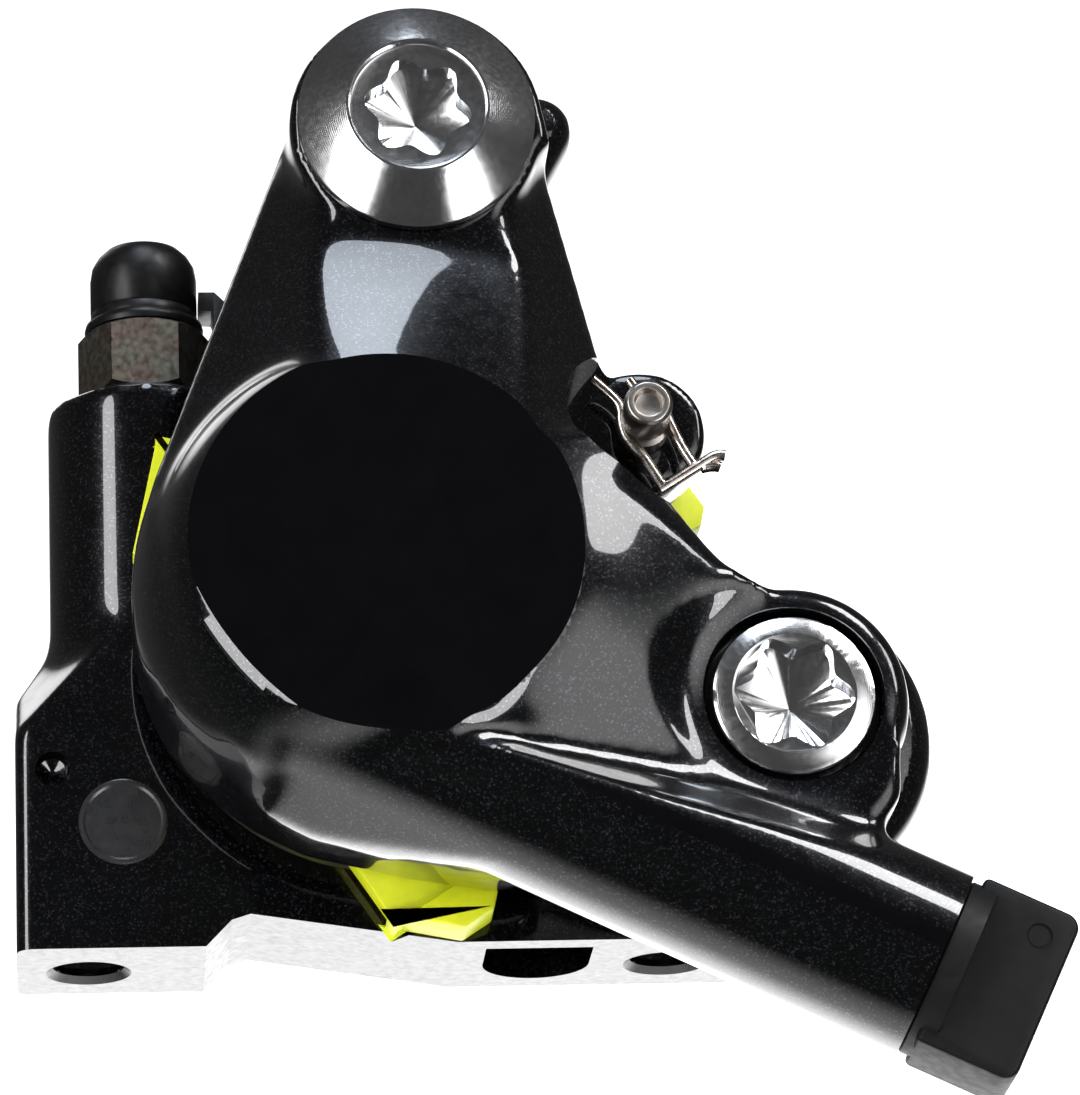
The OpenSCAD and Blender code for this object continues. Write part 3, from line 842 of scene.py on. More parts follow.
def dress(
    obj: Shape,
    finish: object,
    nodes: Sequence[str] = (),
    body: Optional[str] = ROOT,
    areas: Sequence[tuple[object, FaceTest]] = (),
    smooth: float = 28.0,
) -> Shape:
    """Finishes a piece: sizes it to metres, gives it its finishes and hangs it on its body.

    Args:
        obj: The piece, in millimetres.
        finish: Finish of the whole piece.
        nodes: CAD nodes that the piece stands for.
        body: Body that the piece rides on, or None to hang it on no body.
        areas: Other finishes, each with a test of face centres and normals.
        smooth: Greatest angle that is shaded smooth, in degrees.

    Returns:
        The finished piece.
    """
    obj.data.materials.clear()
    obj.data.materials.append(Finish.get(finish))
    centres, normals = face_arrays(obj)
    index = np.zeros(len(centres), int)
    for number, (other, test) in enumerate(areas, 1):
        obj.data.materials.append(Finish.get(other))
        index[test(centres, normals)] = number
    obj.data.polygons.foreach_set("material_index", index)
    obj.data.transform(Matrix.Scale(MM, 4))
    pick(obj)
    bpy.ops.object.shade_smooth_by_angle(angle=math.radians(smooth))
    if body:
        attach(obj, body)
    if nodes:
        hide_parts(*nodes)
    LOG.info("%s: %d faces", obj.name, len(obj.data.polygons))
    return obj


@dataclass
class Housing:
    """The domed piston housing that both halves share."""

    radius: float = 14.7  # Radius of the straight wall
    face_radius: float = 10.95  # Radius of the flat end face
    dome_depth: float = 9.75  # Depth where the dome starts
    bore: float = 11.05  # Radius of the piston's bore
    bore_depth: float = 14.9  # Depth of the bore's end
    pocket: float = 13.7  # Radius of the pads' pocket
    pocket_depth: float = 5.6  # Depth of the pads' pocket
    channel: float = 11.8  # Half the width of the pads' way out
    channel_end: float = 30.0  # Where the pads' way out ends
    axle_hole: float = 1.56  # Radius of the hole for the pad axle

    def blank(self, heading: Heading) -> Shape:
        """Turns the housing, a little past its end face."""
        step = self.radius - self.face_radius
        rise = LAYOUT.face - self.dome_depth
        curve = (step * step + rise * rise) / (2 * step)
        past, steps = 0.1, 16
        top = math.asin(rise / curve) + past
        profile = [(self.radius, LAYOUT.slot)]
        for i in range(steps + 1):
            angle = top * i / steps
            radius = self.radius - curve + curve * math.cos(angle)
            profile.append((radius, self.dome_depth + curve * math.sin(angle)))
        return turned("housing", profile, heading, LAYOUT.piston, 128)

    def machine(self, obj: Shape, heading: Heading) -> None:
        """Cuts what both halves share: end face, slot, pocket, bore and axle hole.

        Args:
            obj: The half.
            heading: Its side.
        """
        end, start = LAYOUT.face, -6.0
        way_out = LAYOUT.pad_box(0, self.channel_end, self.channel)
        wide = [(-60, -40), (70, -40), (70, 90), (-60, 90)]
        carve(
            obj,
            rod(24, end, end + 6, heading, LAYOUT.piston),
            rod(LAYOUT.rim, start, LAYOUT.slot, heading, LAYOUT.rotor, 360),
            slab("cut", wide, start - 4, 0.0, heading),
            rod(self.pocket, start, self.pocket_depth, heading, LAYOUT.piston, 128),
            slab("cut", way_out, start - 1, self.pocket_depth, heading),
            rod(self.bore, start, self.bore_depth, heading, LAYOUT.piston, 128),
            rod(self.axle_hole, start, end + 5, heading, LAYOUT.axle, 48),
        )


@dataclass
class InboardHalf:
    """The painted half that faces the camera: housing, arms, bosses, lug and hose tube."""

    voxel: float = 0.3  # Size of the cast skin's faces
    # Passes that settle the cast skin
    settling: tuple[tuple[int, float, float], ...] = ((6, 0.5, 0.5), (50, 0.5, 0.01), (5, 0.4, 0.4))
    bolt_hole: float = 2.6  # Radius of the holes for the body bolts
    upper_recess: float = 7.2  # Radius of the room round the upper bolt's head
    upper_boss: float = 7.4  # Radius of the upper bolt's boss
    upper_seat: float = 12.25  # Depth of the upper bolt's seat
    lower_boss: float = 6.8  # Radius of the lower bolt's boss
    lower_rim: float = 13.05  # Depth of the lower boss's rim
    lower_seat: float = 10.75  # Depth of the lower bolt's seat
    lug: float = 3.8  # Radius of the axle lug
    lug_depth: float = 8.75  # Depth of the axle lug's outer face
    tube: float = 5.52  # Radius of the hose tube
    tube_length: float = 38.0  # Length of the hose tube
    stock: float = 19.0  # Depth that the arms reach before the sweep cuts them
    arm_ends: Pair = (7.55, 14.85)  # Radius of the upper arm round the bolt and round the piston
    # Profile of the sink round the lower bolt's boss
    sink: Profile = ((6.2, 13.05), (8.6, 15.2), (8.6, 20.0))
    # Turned profile of the housing's outside
    dome: Profile = (
        (14.7, 1.75), (14.7, 3.0), (14.63, 5.0), (14.46, 7.3), (14.17, 9.6), (13.72, 11.8),
        (13.1, 13.6), (12.45, 15.0), (11.9, 15.95), (11.35, 16.75), (10.75, 17.5),
    )
    dome_sector: Pair = (112.0, 304.0)  # Angles between which the dome shows
    lean: Pair = (9.0, 7.3)  # Depth where the dome starts to lean, and the run of that
    disc: Pair = (0.05, 18.5)  # Centre of the end face, a little off the piston's axis
    sweep_start: float = 11.0  # Radius where the sweep round the end face starts
    # Depth and radius where it runs out and how hollow it is, at angles round the end face
    sweep: tuple[tuple[float, Triple], ...] = (
        (-88.0, (1.2, 14.75, 0.3)), (-55.0, (13.4, 23.6, 1.4)), (-25.0, (13.4, 23.6, 1.4)),
        (5.0, (13.5, 23.4, 2.1)), (25.0, (13.5, 23.4, 2.1)), (70.0, (12.2, 19.9, 1.2)),
        (120.0, (12.2, 19.9, 1.2)), (160.0, (1.2, 14.75, 0.3)),
    )
    # Profile of the chamfer on the end face's lower left edge, which runs out at both ends
    lune: Profile = ((18.86, 16.752), (19.4, 16.44), (19.5, 16.2), (21.5, 16.2), (21.5, 19.0))
    lune_centre: Pair = (6.44, 23.31)  # Centre that this chamfer is turned about
    lune_sector: Pair = (192.0, 242.0)  # Angles between which it is cut
    # Flat facets of the arms, each a point, the direction that it faces and its reach
    facets: tuple[tuple[Triple, Triple, float], ...] = (
        ((-1.6, 39.4, 13.0), (-0.625, 0.365, 0.69), 90.0),
        ((8.9, 34.0, 12.9), (0.651, 0.275, 0.707), 18.0),
        ((16.4, 20.2, 14.1), (0.56, 0.43, 0.707), 8.0),
    )
    # Flat on the hose tube's upper side, as a point and the direction that it faces
    tube_flat: tuple[Triple, Triple] = ((9.27, 4.98, 16.6), (0.247, 0.732, 0.633))

    def arms(self) -> Outline:
        """Gives the outline of the arms' right side, from the upper boss to the tube."""
        ux, uz = LAYOUT.upper
        bx, bz = LAYOUT.lower
        ax, az = LAYOUT.axle
        px, pz = LAYOUT.piston
        ex, _, ez = LAYOUT.port
        tilt = math.radians(LAYOUT.port_tilt)
        back = (-math.cos(tilt), math.sin(tilt))
        return [
            (px, pz),
            (ux + 5.7, uz - 6.6),
            (ax + 0.5, az - 5.2),
            (bx - 5.2, bz + 9.8),
            (bx - 3.9, bz + 8.2),
            (bx - 2.4, bz + 6.95),
            (bx - 0.5, bz + 6.2),
            (bx + 6.0, bz + 0.4),
            (bx + 5.8, bz - 6.1),
            (ex + 7 * back[0], ez + 7 * back[1]),
            (ex + 22 * back[0], ez + 22 * back[1]),
            (px, pz - Housing.radius + 1),
        ][::-1]

    def sweep_cap(self) -> Shape:
        """Builds the arms' cap: a hollow sweep from the end face, steeper towards the upper bolt."""
        near, span, steps, outside = self.sweep_start, 10.0, 20, 45.0
        profile = [(outside, -2.0), (outside, 1.0)]
        profile += [(near + span * (1 - i / steps), 1.0 + i / steps) for i in range(steps + 1)]
        profile.append((near - 1.5, LAYOUT.face + 0.9))
        obj = turned("sweep", profile, Heading.INBOARD, self.disc, 160)
        places = coordinates(obj)
        px, pz = self.disc
        x, z = places[:, 0] - px, places[:, 2] - pz
        depth = LAYOUT.rotor_y - places[:, 1]
        radius = np.hypot(x, z)
        angle, knots = np.degrees(np.arctan2(z, x)), [knot for knot, _ in self.sweep]
        columns = zip(*(shape for _, shape in self.sweep))
        low, reach, curve = (np.interp(angle, knots, column) for column in columns)
        way = np.clip(1 - (radius - near) / span, 0, 1)
        ring = (radius > near - 0.01) & (radius < near + span + 0.01)
        rise = low + (LAYOUT.face - low) * way**curve
        depth = np.where(ring | (depth > 0) & (radius > near), rise, depth)
        scale = np.where(ring, near + (1 - way) * (reach - near), radius) / np.maximum(radius, 1e-6)
        move_points(obj, np.column_stack([px + x * scale, LAYOUT.rotor_y - depth, pz + z * scale]))
        return obj

    def arm_masses(self) -> Shape:
        """Builds both arms under their sweep, with the flat facets of their edges."""
        at_bolt, at_piston = self.arm_ends
        outline = wrapped([(LAYOUT.upper, at_bolt), (LAYOUT.piston, at_piston)])
        obj = slab("arms", outline, LAYOUT.slot, self.stock)
        carve(obj, slab("right_arm", self.arms(), LAYOUT.slot, self.stock), cut=Cut.ADD)
        carve(obj, self.sweep_cap(), cut=Cut.KEEP)
        carve(obj, *(beyond(point, normal, size=reach) for point, normal, reach in self.facets))
        return carve(obj, turned("sink", self.sink, Heading.INBOARD, LAYOUT.lower))

    def sector(self, start: float, end: float) -> Shape:
        """Builds a wedge round the piston's axis between two angles in degrees."""
        reach, steps = 40, 7
        outline = [LAYOUT.piston] + ring_outline(LAYOUT.piston, reach, start, end, steps)
        return slab("sector", outline, -5.0, 25.0)

    def shell(self) -> Shape:
        """Builds the housing's dome, which leans to the end face and shows left and below only."""
        obj = turned("shell", self.dome, Heading.INBOARD, LAYOUT.piston, 128)
        places = coordinates(obj)
        start, run = self.lean
        lean = np.clip((LAYOUT.rotor_y - places[:, 1] - start) / run, 0, 1)
        places[:, 0] += lean * (self.disc[0] - LAYOUT.piston[0])
        places[:, 2] += lean * (self.disc[1] - LAYOUT.piston[1])
        move_points(obj, places)
        return carve(obj, self.sector(*self.dome_sector), cut=Cut.KEEP)

    def hose_tube(self) -> Shape:
        """Builds the hose tube, with the flat that falls back to the lower arm."""
        obj = rod(self.tube, -self.tube_length, 1.0, Heading.PORT)
        return carve(obj, beyond(*self.tube_flat))

    def fairing(self) -> Shape:
        """Builds the fairing that joins the housing's underside to the hose tube."""
        root = [
            (-7.3, 5.97), (-4.63, 4.18), (-1.93, 3.54), (1.33, 2.71),
            (6.45, 1.84), (9.0, 2.4), (9.5, 9.0), (-7.0, 9.0),
        ]
        lip = [(-7.5, 5.0), (-4.1, 3.25), (-0.51, 2.12), (5.97, 1.12), (8.6, 1.3)]
        flank = [(8.26, -0.3), (1.07, 3.21), (-5.22, 6.28)]
        lip_depth, flank_depth = 8.5, 13.66
        rows = ((root, LAYOUT.slot), (lip, lip_depth), (flank, flank_depth))
        return hull("fairing", [(x, z, depth) for row, depth in rows for x, z in row])

    def blank(self) -> Shape:
        """Casts the half: its masses melted together, with fillets in the hollows."""
        side, end = Heading.INBOARD, LAYOUT.face
        core = [(14.0, LAYOUT.slot), (14.0, 9.0), (9.8, end - 1.2), (9.4, end + 0.8)]
        inner, base, steps = 5.6, 10.95, 8
        wide, tall = self.lower_boss - inner, self.lower_rim - base
        turns = [math.pi / 2 * i / steps for i in range(steps + 1)]
        rim = [(inner + wide * math.cos(t), base + tall * math.sin(t)) for t in turns]
        parts = [
            self.shell(),
            self.arm_masses(),
            self.hose_tube(),
            self.fairing(),
            turned("core", core, side, LAYOUT.piston, 128),
            rod(self.upper_boss, -0.5, self.upper_seat, side, LAYOUT.upper),
            turned("boss", [(self.lower_boss, -0.5)] + rim, side, LAYOUT.lower),
            rod(self.lug, LAYOUT.slot, self.lug_depth, side, LAYOUT.axle),
        ]
        return fused("inboard_body", parts, self.voxel, self.settling)

    def machine(self, obj: Shape) -> None:
        """Cuts the bolt seats, the axle's pocket and the hose port."""
        side = Heading.INBOARD
        ax, az = LAYOUT.axle
        pocket = wrapped([((ax, az), 4.8), ((ax + 1.8, az - 2.6), 3.6)])
        port = [(4.2, 3.0), (4.2, -5.0)] + threads(3.5, -5.01, -15.0, 0.8, 0.25)
        well = [(5.05, self.lower_seat), (5.05, self.lower_rim - 0.3), (5.6, 14)]
        lune = turned("lune", self.lune, side, self.lune_centre, 192)
        inside, outside = -5, 20
        carve(
            obj,
            rod(self.upper_recess, self.upper_seat, outside, side, LAYOUT.upper),
            rod(self.bolt_hole, inside, outside, side, LAYOUT.upper, 64),
            turned("cut", well, side, LAYOUT.lower),
            rod(self.bolt_hole, inside, outside, side, LAYOUT.lower, 64),
            slab("cut", pocket, self.lug_depth, outside, side),
            carve(lune, self.sector(*self.lune_sector), cut=Cut.KEEP),
            rod(12, 0, 8, Heading.PORT),
            turned("cut", port, Heading.PORT),
        )

    def build(self) -> Shape:
        """Builds, machines and dresses the half."""
        obj = self.blank()
        Housing().machine(obj, Heading.INBOARD)
        self.machine(obj)
        front = LAYOUT.rotor_y - LAYOUT.face
        slot_face = LAYOUT.rotor_y - Housing.pocket_depth - 0.2
        return dress(
            obj,
            Finish.PAINT,
            ["inboard_half"],
            areas=[
                (Finish.FACE, lambda c, n: (c[:, 1] < front + 0.02) & (n[:, 1] < -0.99)),
                (Finish.INNER, lambda c, n: (c[:, 1] > slot_face) & (n[:, 1] > 0.99)),
            ],
        )


@dataclass
class OutboardHalf:
    """The half that bolts to the frame: housing, feet, bosses, lug and bleed tower."""

    voxel: float = 0.32  # Size of the cast skin's faces
    # Passes that settle the cast skin
    settling: tuple[tuple[int, float, float], ...] = ((6, 0.5, 0.5), (50, 0.5, 0.02), (4, 0.4, 0.4))
    bolt_hole: float = 2.52  # Radius of the holes for the body bolts
    boss_depth: float = 12.75  # Depth of the upper boss's outer face
    pocket: float = 3.15  # Radius of the blind pocket in the mount face
    pocket_inset: float = 7.7  # Distance of that pocket from the right mount hole
    pocket_depth: float = 4.2  # Depth of that pocket
    foot_left: float = -21.2  # Left end of the left foot
    foot_height: float = 12.7  # Height of the left foot's straight edge
    foot_right: float = 21.2  # Right end of the right foot
    # Corners of the arch between the feet
    arch: tuple[Pair, ...] = ((-10.2, 0.0), (-8.7, 1.55), (-7.6, 1.9), (4.4, 0.0))
    tower: float = 5.97  # Radius of the bleed tower
    tower_top: float = 35.2  # Top of the bleed tower
    tap: float = 2.1  # Radius of the tapped mount holes
    # Flat facet of the left foot's upper corner: a point and the direction that it faces
    facet: tuple[Triple, Triple] = ((-18.3, 16.1, 1.75), (-0.66, 0.6, -0.45))

    def lower_boss(self) -> Pair:
        """Gives the centre of the boss behind the lower body bolt."""
        return (LAYOUT.lower[0] + 0.4, LAYOUT.lower[1] + 1.8)

    def feet(self) -> Outline:
        """Gives the outline of the plate that carries both feet."""
        return [
            (self.foot_left, -1.0),
            (self.foot_left, self.foot_height + 3.9),
            (self.foot_left + 1.9, self.foot_height + 7.3),
            (LAYOUT.bleed[0] + self.tower, LAYOUT.piston[1] + 8),
            LAYOUT.piston,
            self.lower_boss(),
            (self.foot_right + 1.3, 4.0),
            (self.foot_right, -1.0),
        ][::-1]

    def foot_plate(self) -> Shape:
        """Builds the plate with both feet, with a flat facet on the left foot's upper corner."""
        plate = slab("feet", self.feet(), LAYOUT.arm, LAYOUT.slot, Heading.OUTBOARD, 0.8)
        return carve(plate, beyond(*self.facet, Heading.OUTBOARD))

    def round_rim(self, radius: float, low: float, high: float, rim: float) -> list[Pair]:
        """Gives the profile of a boss whose front rim is round.

        Args:
            radius: Radius of the boss.
            low: Depth of its front face.
            high: Depth of its back face.
            rim: Radius of the rim.

        Returns:
            The profile's steps.
        """
        steps = 10
        angles = [math.pi / 2 * i / steps for i in range(steps + 1)]
        curve = [(radius - rim + rim * math.sin(t), low + rim - rim * math.cos(t)) for t in angles]
        return curve + [(radius, high)]

    def blank(self) -> Shape:
        """Casts the half: its masses melted together, with fillets in the hollows."""
        side = Heading.OUTBOARD
        ux, uz = LAYOUT.upper
        bx, bz = LAYOUT.lower
        ax, az = LAYOUT.axle
        arm = wrapped([(LAYOUT.upper, 6.2), (LAYOUT.piston, 13.5)])
        corner = wrapped([(LAYOUT.upper, 6.9), ((ux + 8.3, uz + 5.4), 2.2)])
        web = [
            LAYOUT.piston,
            (ux + 6.5, uz - 4.5),
            (ax + 2, az - 2.5),
            (bx - 3.5, bz + 9.5),
            self.lower_boss(),
        ][::-1]
        parts = [
            Housing().blank(side),
            self.foot_plate(),
            slab("arm", arm, LAYOUT.slot, LAYOUT.arm, side, 1.5),
            slab("web", web, LAYOUT.slot, LAYOUT.arm, side),
            slab("corner", corner, self.boss_depth, -0.3, side, 2.1),
            rod(7.6, -0.5, self.boss_depth, side, LAYOUT.upper),
            turned("boss", self.round_rim(9.6, -0.3, LAYOUT.arm, 2.6), side, self.lower_boss()),
            rod(4.2, LAYOUT.slot, 10.5, side, LAYOUT.axle),
            rod(self.tower, 9.7, self.tower_top, Heading.UP, LAYOUT.bleed),
        ]
        return fused("outboard_body", parts, self.voxel, self.settling)

    def machine(self, obj: Shape) -> None:
        """Cuts the mount face, arch, tapped holes, bolt holes and bleed bore."""
        side = Heading.OUTBOARD
        below = [(-40, -20), (60, -20), (60, 0), *self.arch[::-1], (-40, 0)]
        hole = [(3.4, -2.0), (2.5, 0.0), (self.tap, 0.4)] + threads(self.tap, 0.5, 9.0, 0.8, 0.3)
        centre = LAYOUT.mount - self.pocket_inset
        left, right, top, floor = centre - self.pocket, centre + self.pocket, self.pocket_depth, -2.0
        mouth = [(left, floor), (right, floor), (right, top), (left, top)]
        bleed = threads(3.05, 26.8, 34.6, 0.9, 0.2) + [(3.05, 40)]
        dimple = [(1.1, 1.2), (1.0, 1.9), (0.8, 2.4), (0.2, 2.75)]
        carve(
            obj,
            slab("cut", below, -20, 40, side),
            rod(self.bolt_hole, -5, 11, side, LAYOUT.upper, 64),
            rod(self.bolt_hole, -5, 11, side, LAYOUT.lower, 64),
            rod(2.75, 9.0, 20, side, LAYOUT.axle, 64),
            rod(self.pocket, floor, top, Heading.UP, (centre, -0.4), 64),
            slab("cut", mouth, 3.35, 6.85, side),
            turned("cut", bleed, Heading.UP, LAYOUT.bleed, 64),
            turned("cut", dimple, side, (-19.0, 10.9), 40),
            *(turned("cut", hole, Heading.UP, (way * LAYOUT.mount, 0), 64) for way in (-1, 1)),
        )

    def build(self) -> Shape:
        """Builds, machines and dresses the half."""
        obj = self.blank()
        Housing().machine(obj, Heading.OUTBOARD)
        self.machine(obj)
        return dress(
            obj,
            Finish.PAINT,
            ["outboard_half"],
            areas=[(Finish.MILLED, lambda c, n: (c[:, 2] < 2.4) & (n[:, 2] < -0.6))],
        )


@dataclass
class BodyBolt:
    """A body bolt: shank, head and six-lobe recess with a pointed floor."""

    name: str  # Name of the piece
    node: str  # CAD node that it stands for
    finish: object  # Its finish
    centre: Pair  # Its axis
    head: Profile  # Turned profile from the seat to the top, as radius and depth
    recess: Triple  # Depth where the recess starts, its floor and the tip below it
    lobe: Pair  # Greatest and least radius of the recess
    turn: float  # Turn of the lobes in degrees

    def recess_cutter(self) -> Shape:
        """Makes the recess: a lobed prism with a pointed floor."""
        top, floor, tip = self.recess
        most, least = self.lobe
        mid, wave = (most + least) / 2, (most - least) / 2
        outline, count, lobes = [], 144, 6
        x, z = self.centre
        for i in range(count):
            angle = 2 * math.pi * i / count
            radius = mid + wave * math.cos(lobes * (angle - math.radians(self.turn)))
            outline.append((x + radius * math.cos(angle), z + radius * math.sin(angle)))
        cutter = slab("recess", outline, floor, top)
        point = [(0.05, tip), (most + 0.1, floor + 0.02), (most + 0.1, floor + 0.3)]
        cone = turned("point", point, Heading.INBOARD, self.centre, 72)
        prism = slab("prism", outline, tip - 0.5, floor + 0.3)
        return carve(cutter, carve(prism, cone, cut=Cut.KEEP), cut=Cut.ADD)

    def in_recess(self, centres: np.ndarray, normals: np.ndarray) -> np.ndarray:
        """Tells which faces lie inside the recess."""
        x, z = self.centre
        depth = LAYOUT.rotor_y - centres[:, 1]
        reach = np.hypot(centres[:, 0] - x, centres[:, 2] - z)
        low, high = self.recess[2] - 0.05, self.head[-1][1] - 0.03
        return (reach < self.lobe[0] + 0.02) & (depth > low) & (depth < high)

    def build(self) -> Shape:
        """Builds and dresses the bolt."""
        seat = self.head[0][1]
        shank = [(2.1, -9.9)] + threads(2.3, -9.6, -1.0, 0.8, 0.2) + [(2.4, -0.8), (2.4, seat)]
        obj = turned(self.name, shank + list(self.head), Heading.INBOARD, self.centre, 128)
        carve(obj, self.recess_cutter())
        bevelled(obj, 0.07, 2, 30.0)
        areas = [(Finish.RECESS, self.in_recess)]
        return dress(obj, self.finish, [self.node], areas=areas, smooth=32.0)


@dataclass
class PadAxle:
    """The pad axle with its spring clip."""

    tip: float = 13.4  # Depth of the axle's tip
    groove: float = 10.35  # Depth of the clip's groove
    wire: float = 0.34  # Radius of the clip's wire

    def build(self) -> list[Shape]:
        """Builds and dresses the axle and the clip."""
        pin = [
            (2.45, -10.5), (2.6, -10.3), (2.6, -9.0), (1.5, -9.0), (1.5, 10.0), (1.0, 10.05), (1.0, 10.7),
            (1.4, 10.75), (1.4, self.tip - 0.25), (1.2, self.tip), (0.85, self.tip),
            (0.75, self.tip - 0.6),
        ]
        axle = turned("pad_axle_pin", pin, Heading.INBOARD, LAYOUT.axle, 64)
        carve(axle, rod(1.45, -11, -9.3, Heading.INBOARD, LAYOUT.axle, 6))
        bevelled(axle, 0.05, 2)
        dress(axle, Finish.AXLE, ["pad_axle"])
        ax, az = LAYOUT.axle
        y = LAYOUT.rotor_y - self.groove
        paths = [
            [
                (-2.9, 2.5), (-1.75, 1.45), (-1.32, 0.75), (-1.36, -0.2),
                (-1.15, -1.1), (-0.25, -2.1), (0.35, -3.1), (0.95, -4.15),
            ],
            [
                (-0.75, 2.55), (-0.45, 2.0), (0.35, 1.36), (1.2, 0.75),
                (1.38, 0.1), (1.75, -0.8), (2.2, -1.9), (2.85, -2.95),
            ],
            [(0.7, -4.3), (1.9, -3.55), (3.1, -2.8), (4.1, -2.15), (4.6, -2.25)],
            [(3.2, -2.95), (3.9, -2.75), (4.3, -2.9)],
        ]
        lifts = [(-0.12, 0.0), (0.12, 0.0), (0.0, -0.1), (0.05, 0.1)]
        strands = []
        for path, (start, end) in zip(paths, lifts):
            last = len(path) - 1
            depths = [y + start + (end - start) * i / last for i in range(last + 1)]
            places = [(ax + x, depth, az + z) for depth, (x, z) in zip(depths, path)]
            strands.append(wire("strand", places, self.wire))
        clip = carve(*strands, cut=Cut.ADD)
        clip.name = "axle_spring_clip"
        dress(clip, Finish.CLIP, ["axle_clip"], smooth=50.0)
        return [axle, clip]


@dataclass
class BleedValve:
    """The bleed nipple with its rubber cap and strap."""

    hex_low: float = 35.95  # Underside of the hexagon
    hex_high: float = 40.25  # Top of the hexagon
    across: float = 7.0  # Width of the hexagon across its flats
    turn: float = 30.0  # Turn of the hexagon in degrees
    cap_low: float = 40.35  # Lower rim of the cap
    cap_high: float = 46.1  # Top of the cap
    cap: float = 3.25  # Radius of the cap

    def nipple(self) -> Shape:
        """Builds the threaded nipple: hexagon with turned chamfers, and spout."""
        corner = self.across / 2 / math.cos(math.pi / 6)
        low, high = self.hex_low, self.hex_high
        prism = [(corner, low), (corner, high)]
        hexagon = turned("hexagon", prism, Heading.UP, LAYOUT.bleed, 6, self.turn)
        wide, narrow, drop = corner + 0.1, corner - 0.55, 0.4
        edge = [(narrow, low), (wide, low + drop), (wide, high - drop), (narrow, high)]
        obj = carve(hexagon, turned("chamfer", edge, Heading.UP, LAYOUT.bleed), cut=Cut.KEEP)
        stem = [(0.9, 27.0), (2.4, 27.7)] + threads(2.8, 27.8, 34.3, 0.9, 0.2)
        stem += [(3.0, 34.7), (3.0, low + 0.2)]
        spout = [(2.05, high - 0.2), (2.05, 43.2), (2.35, 43.4), (1.75, 44.6), (0.9, 44.6), (0.9, 42.5)]
        for profile in (stem, spout):
            carve(obj, turned("core", profile, Heading.UP, LAYOUT.bleed, 64), cut=Cut.ADD)
        obj.name = "bleed_nipple_hex"
        bevelled(obj, 0.06, 2, 25.0)
        return dress(obj, Finish.NIPPLE, ["bleed_nipple"], "bleed_nipple")

    def rubber_cap(self) -> Shape:
        """Builds the cap: a hollow dome with a bead near its rim."""
        r, low, high = self.cap, self.cap_low, self.cap_high
        profile = [
            (r - 0.55, low), (r + 0.3, low), (r + 0.38, low + 0.25), (r + 0.3, low + 0.55),
            (r, low + 0.75), (r, low + 1.2), (r - 0.1, low + 1.32), (r, low + 1.44), (r, high - 2.2),
            (r - 0.12, high - 1.45), (r - 0.45, high - 0.85), (r - 0.95, high - 0.35),
            (r - 1.6, high - 0.08), (0.3, high),
        ]
        cap = turned("bleed_rubber_cap", profile, Heading.UP, LAYOUT.bleed, 96)
        carve(cap, rod(2.5, low - 1, high - 1.1, Heading.UP, LAYOUT.bleed, 64))
        return dress(cap, Finish.RUBBER, ["bleed_cap"], "bleed_cap", smooth=50.0)

    def strap(self) -> Shape:
        """Builds the strap: a ring under the hexagon and a band up to the cap."""
        x, y = LAYOUT.bleed
        low, top = 35.27, 42.75
        edge = [(3.95, low), (4.05, low + 0.3), (3.95, low + 0.62)]
        ring = turned("strap_ring", edge, Heading.UP, LAYOUT.bleed, 96)
        carve(ring, rod(3.08, low - 1, low + 2, Heading.UP, LAYOUT.bleed, 64))
        outer, inner, half = 5.05, 4.2, 1.3
        band = [
            (3.4, low), (outer - 0.7, low), (outer, low + 0.75), (outer, top - 0.75),
            (outer - 0.75, top), (3.32, top), (3.32, top - 1.2), (inner - 0.1, top - 1.25),
            (inner, top - 1.5), (inner, low + 0.85), (inner - 0.25, low + 0.62), (3.4, low + 0.62),
        ]
        strip = slab("strap_band", band, -half, half, Heading.UP)
        strip.data.transform(Matrix(((1, 0, 0, x), (0, 0, -1, y), (0, 1, 0, 0), (0, 0, 0, 1))))
        close_up(strip)
        obj = carve(ring, strip, cut=Cut.ADD)
        obj.name = "bleed_cap_band"
        bevelled(obj, 0.16, 3, 30.0)
        dress(obj, Finish.RUBBER, ["bleed_cap_strap"], None, smooth=50.0)
        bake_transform(obj)
        return obj

    def build(self) -> list[Shape]:
        """Builds and dresses the valve's pieces."""
        return [self.nipple(), self.rubber_cap(), self.strap()]


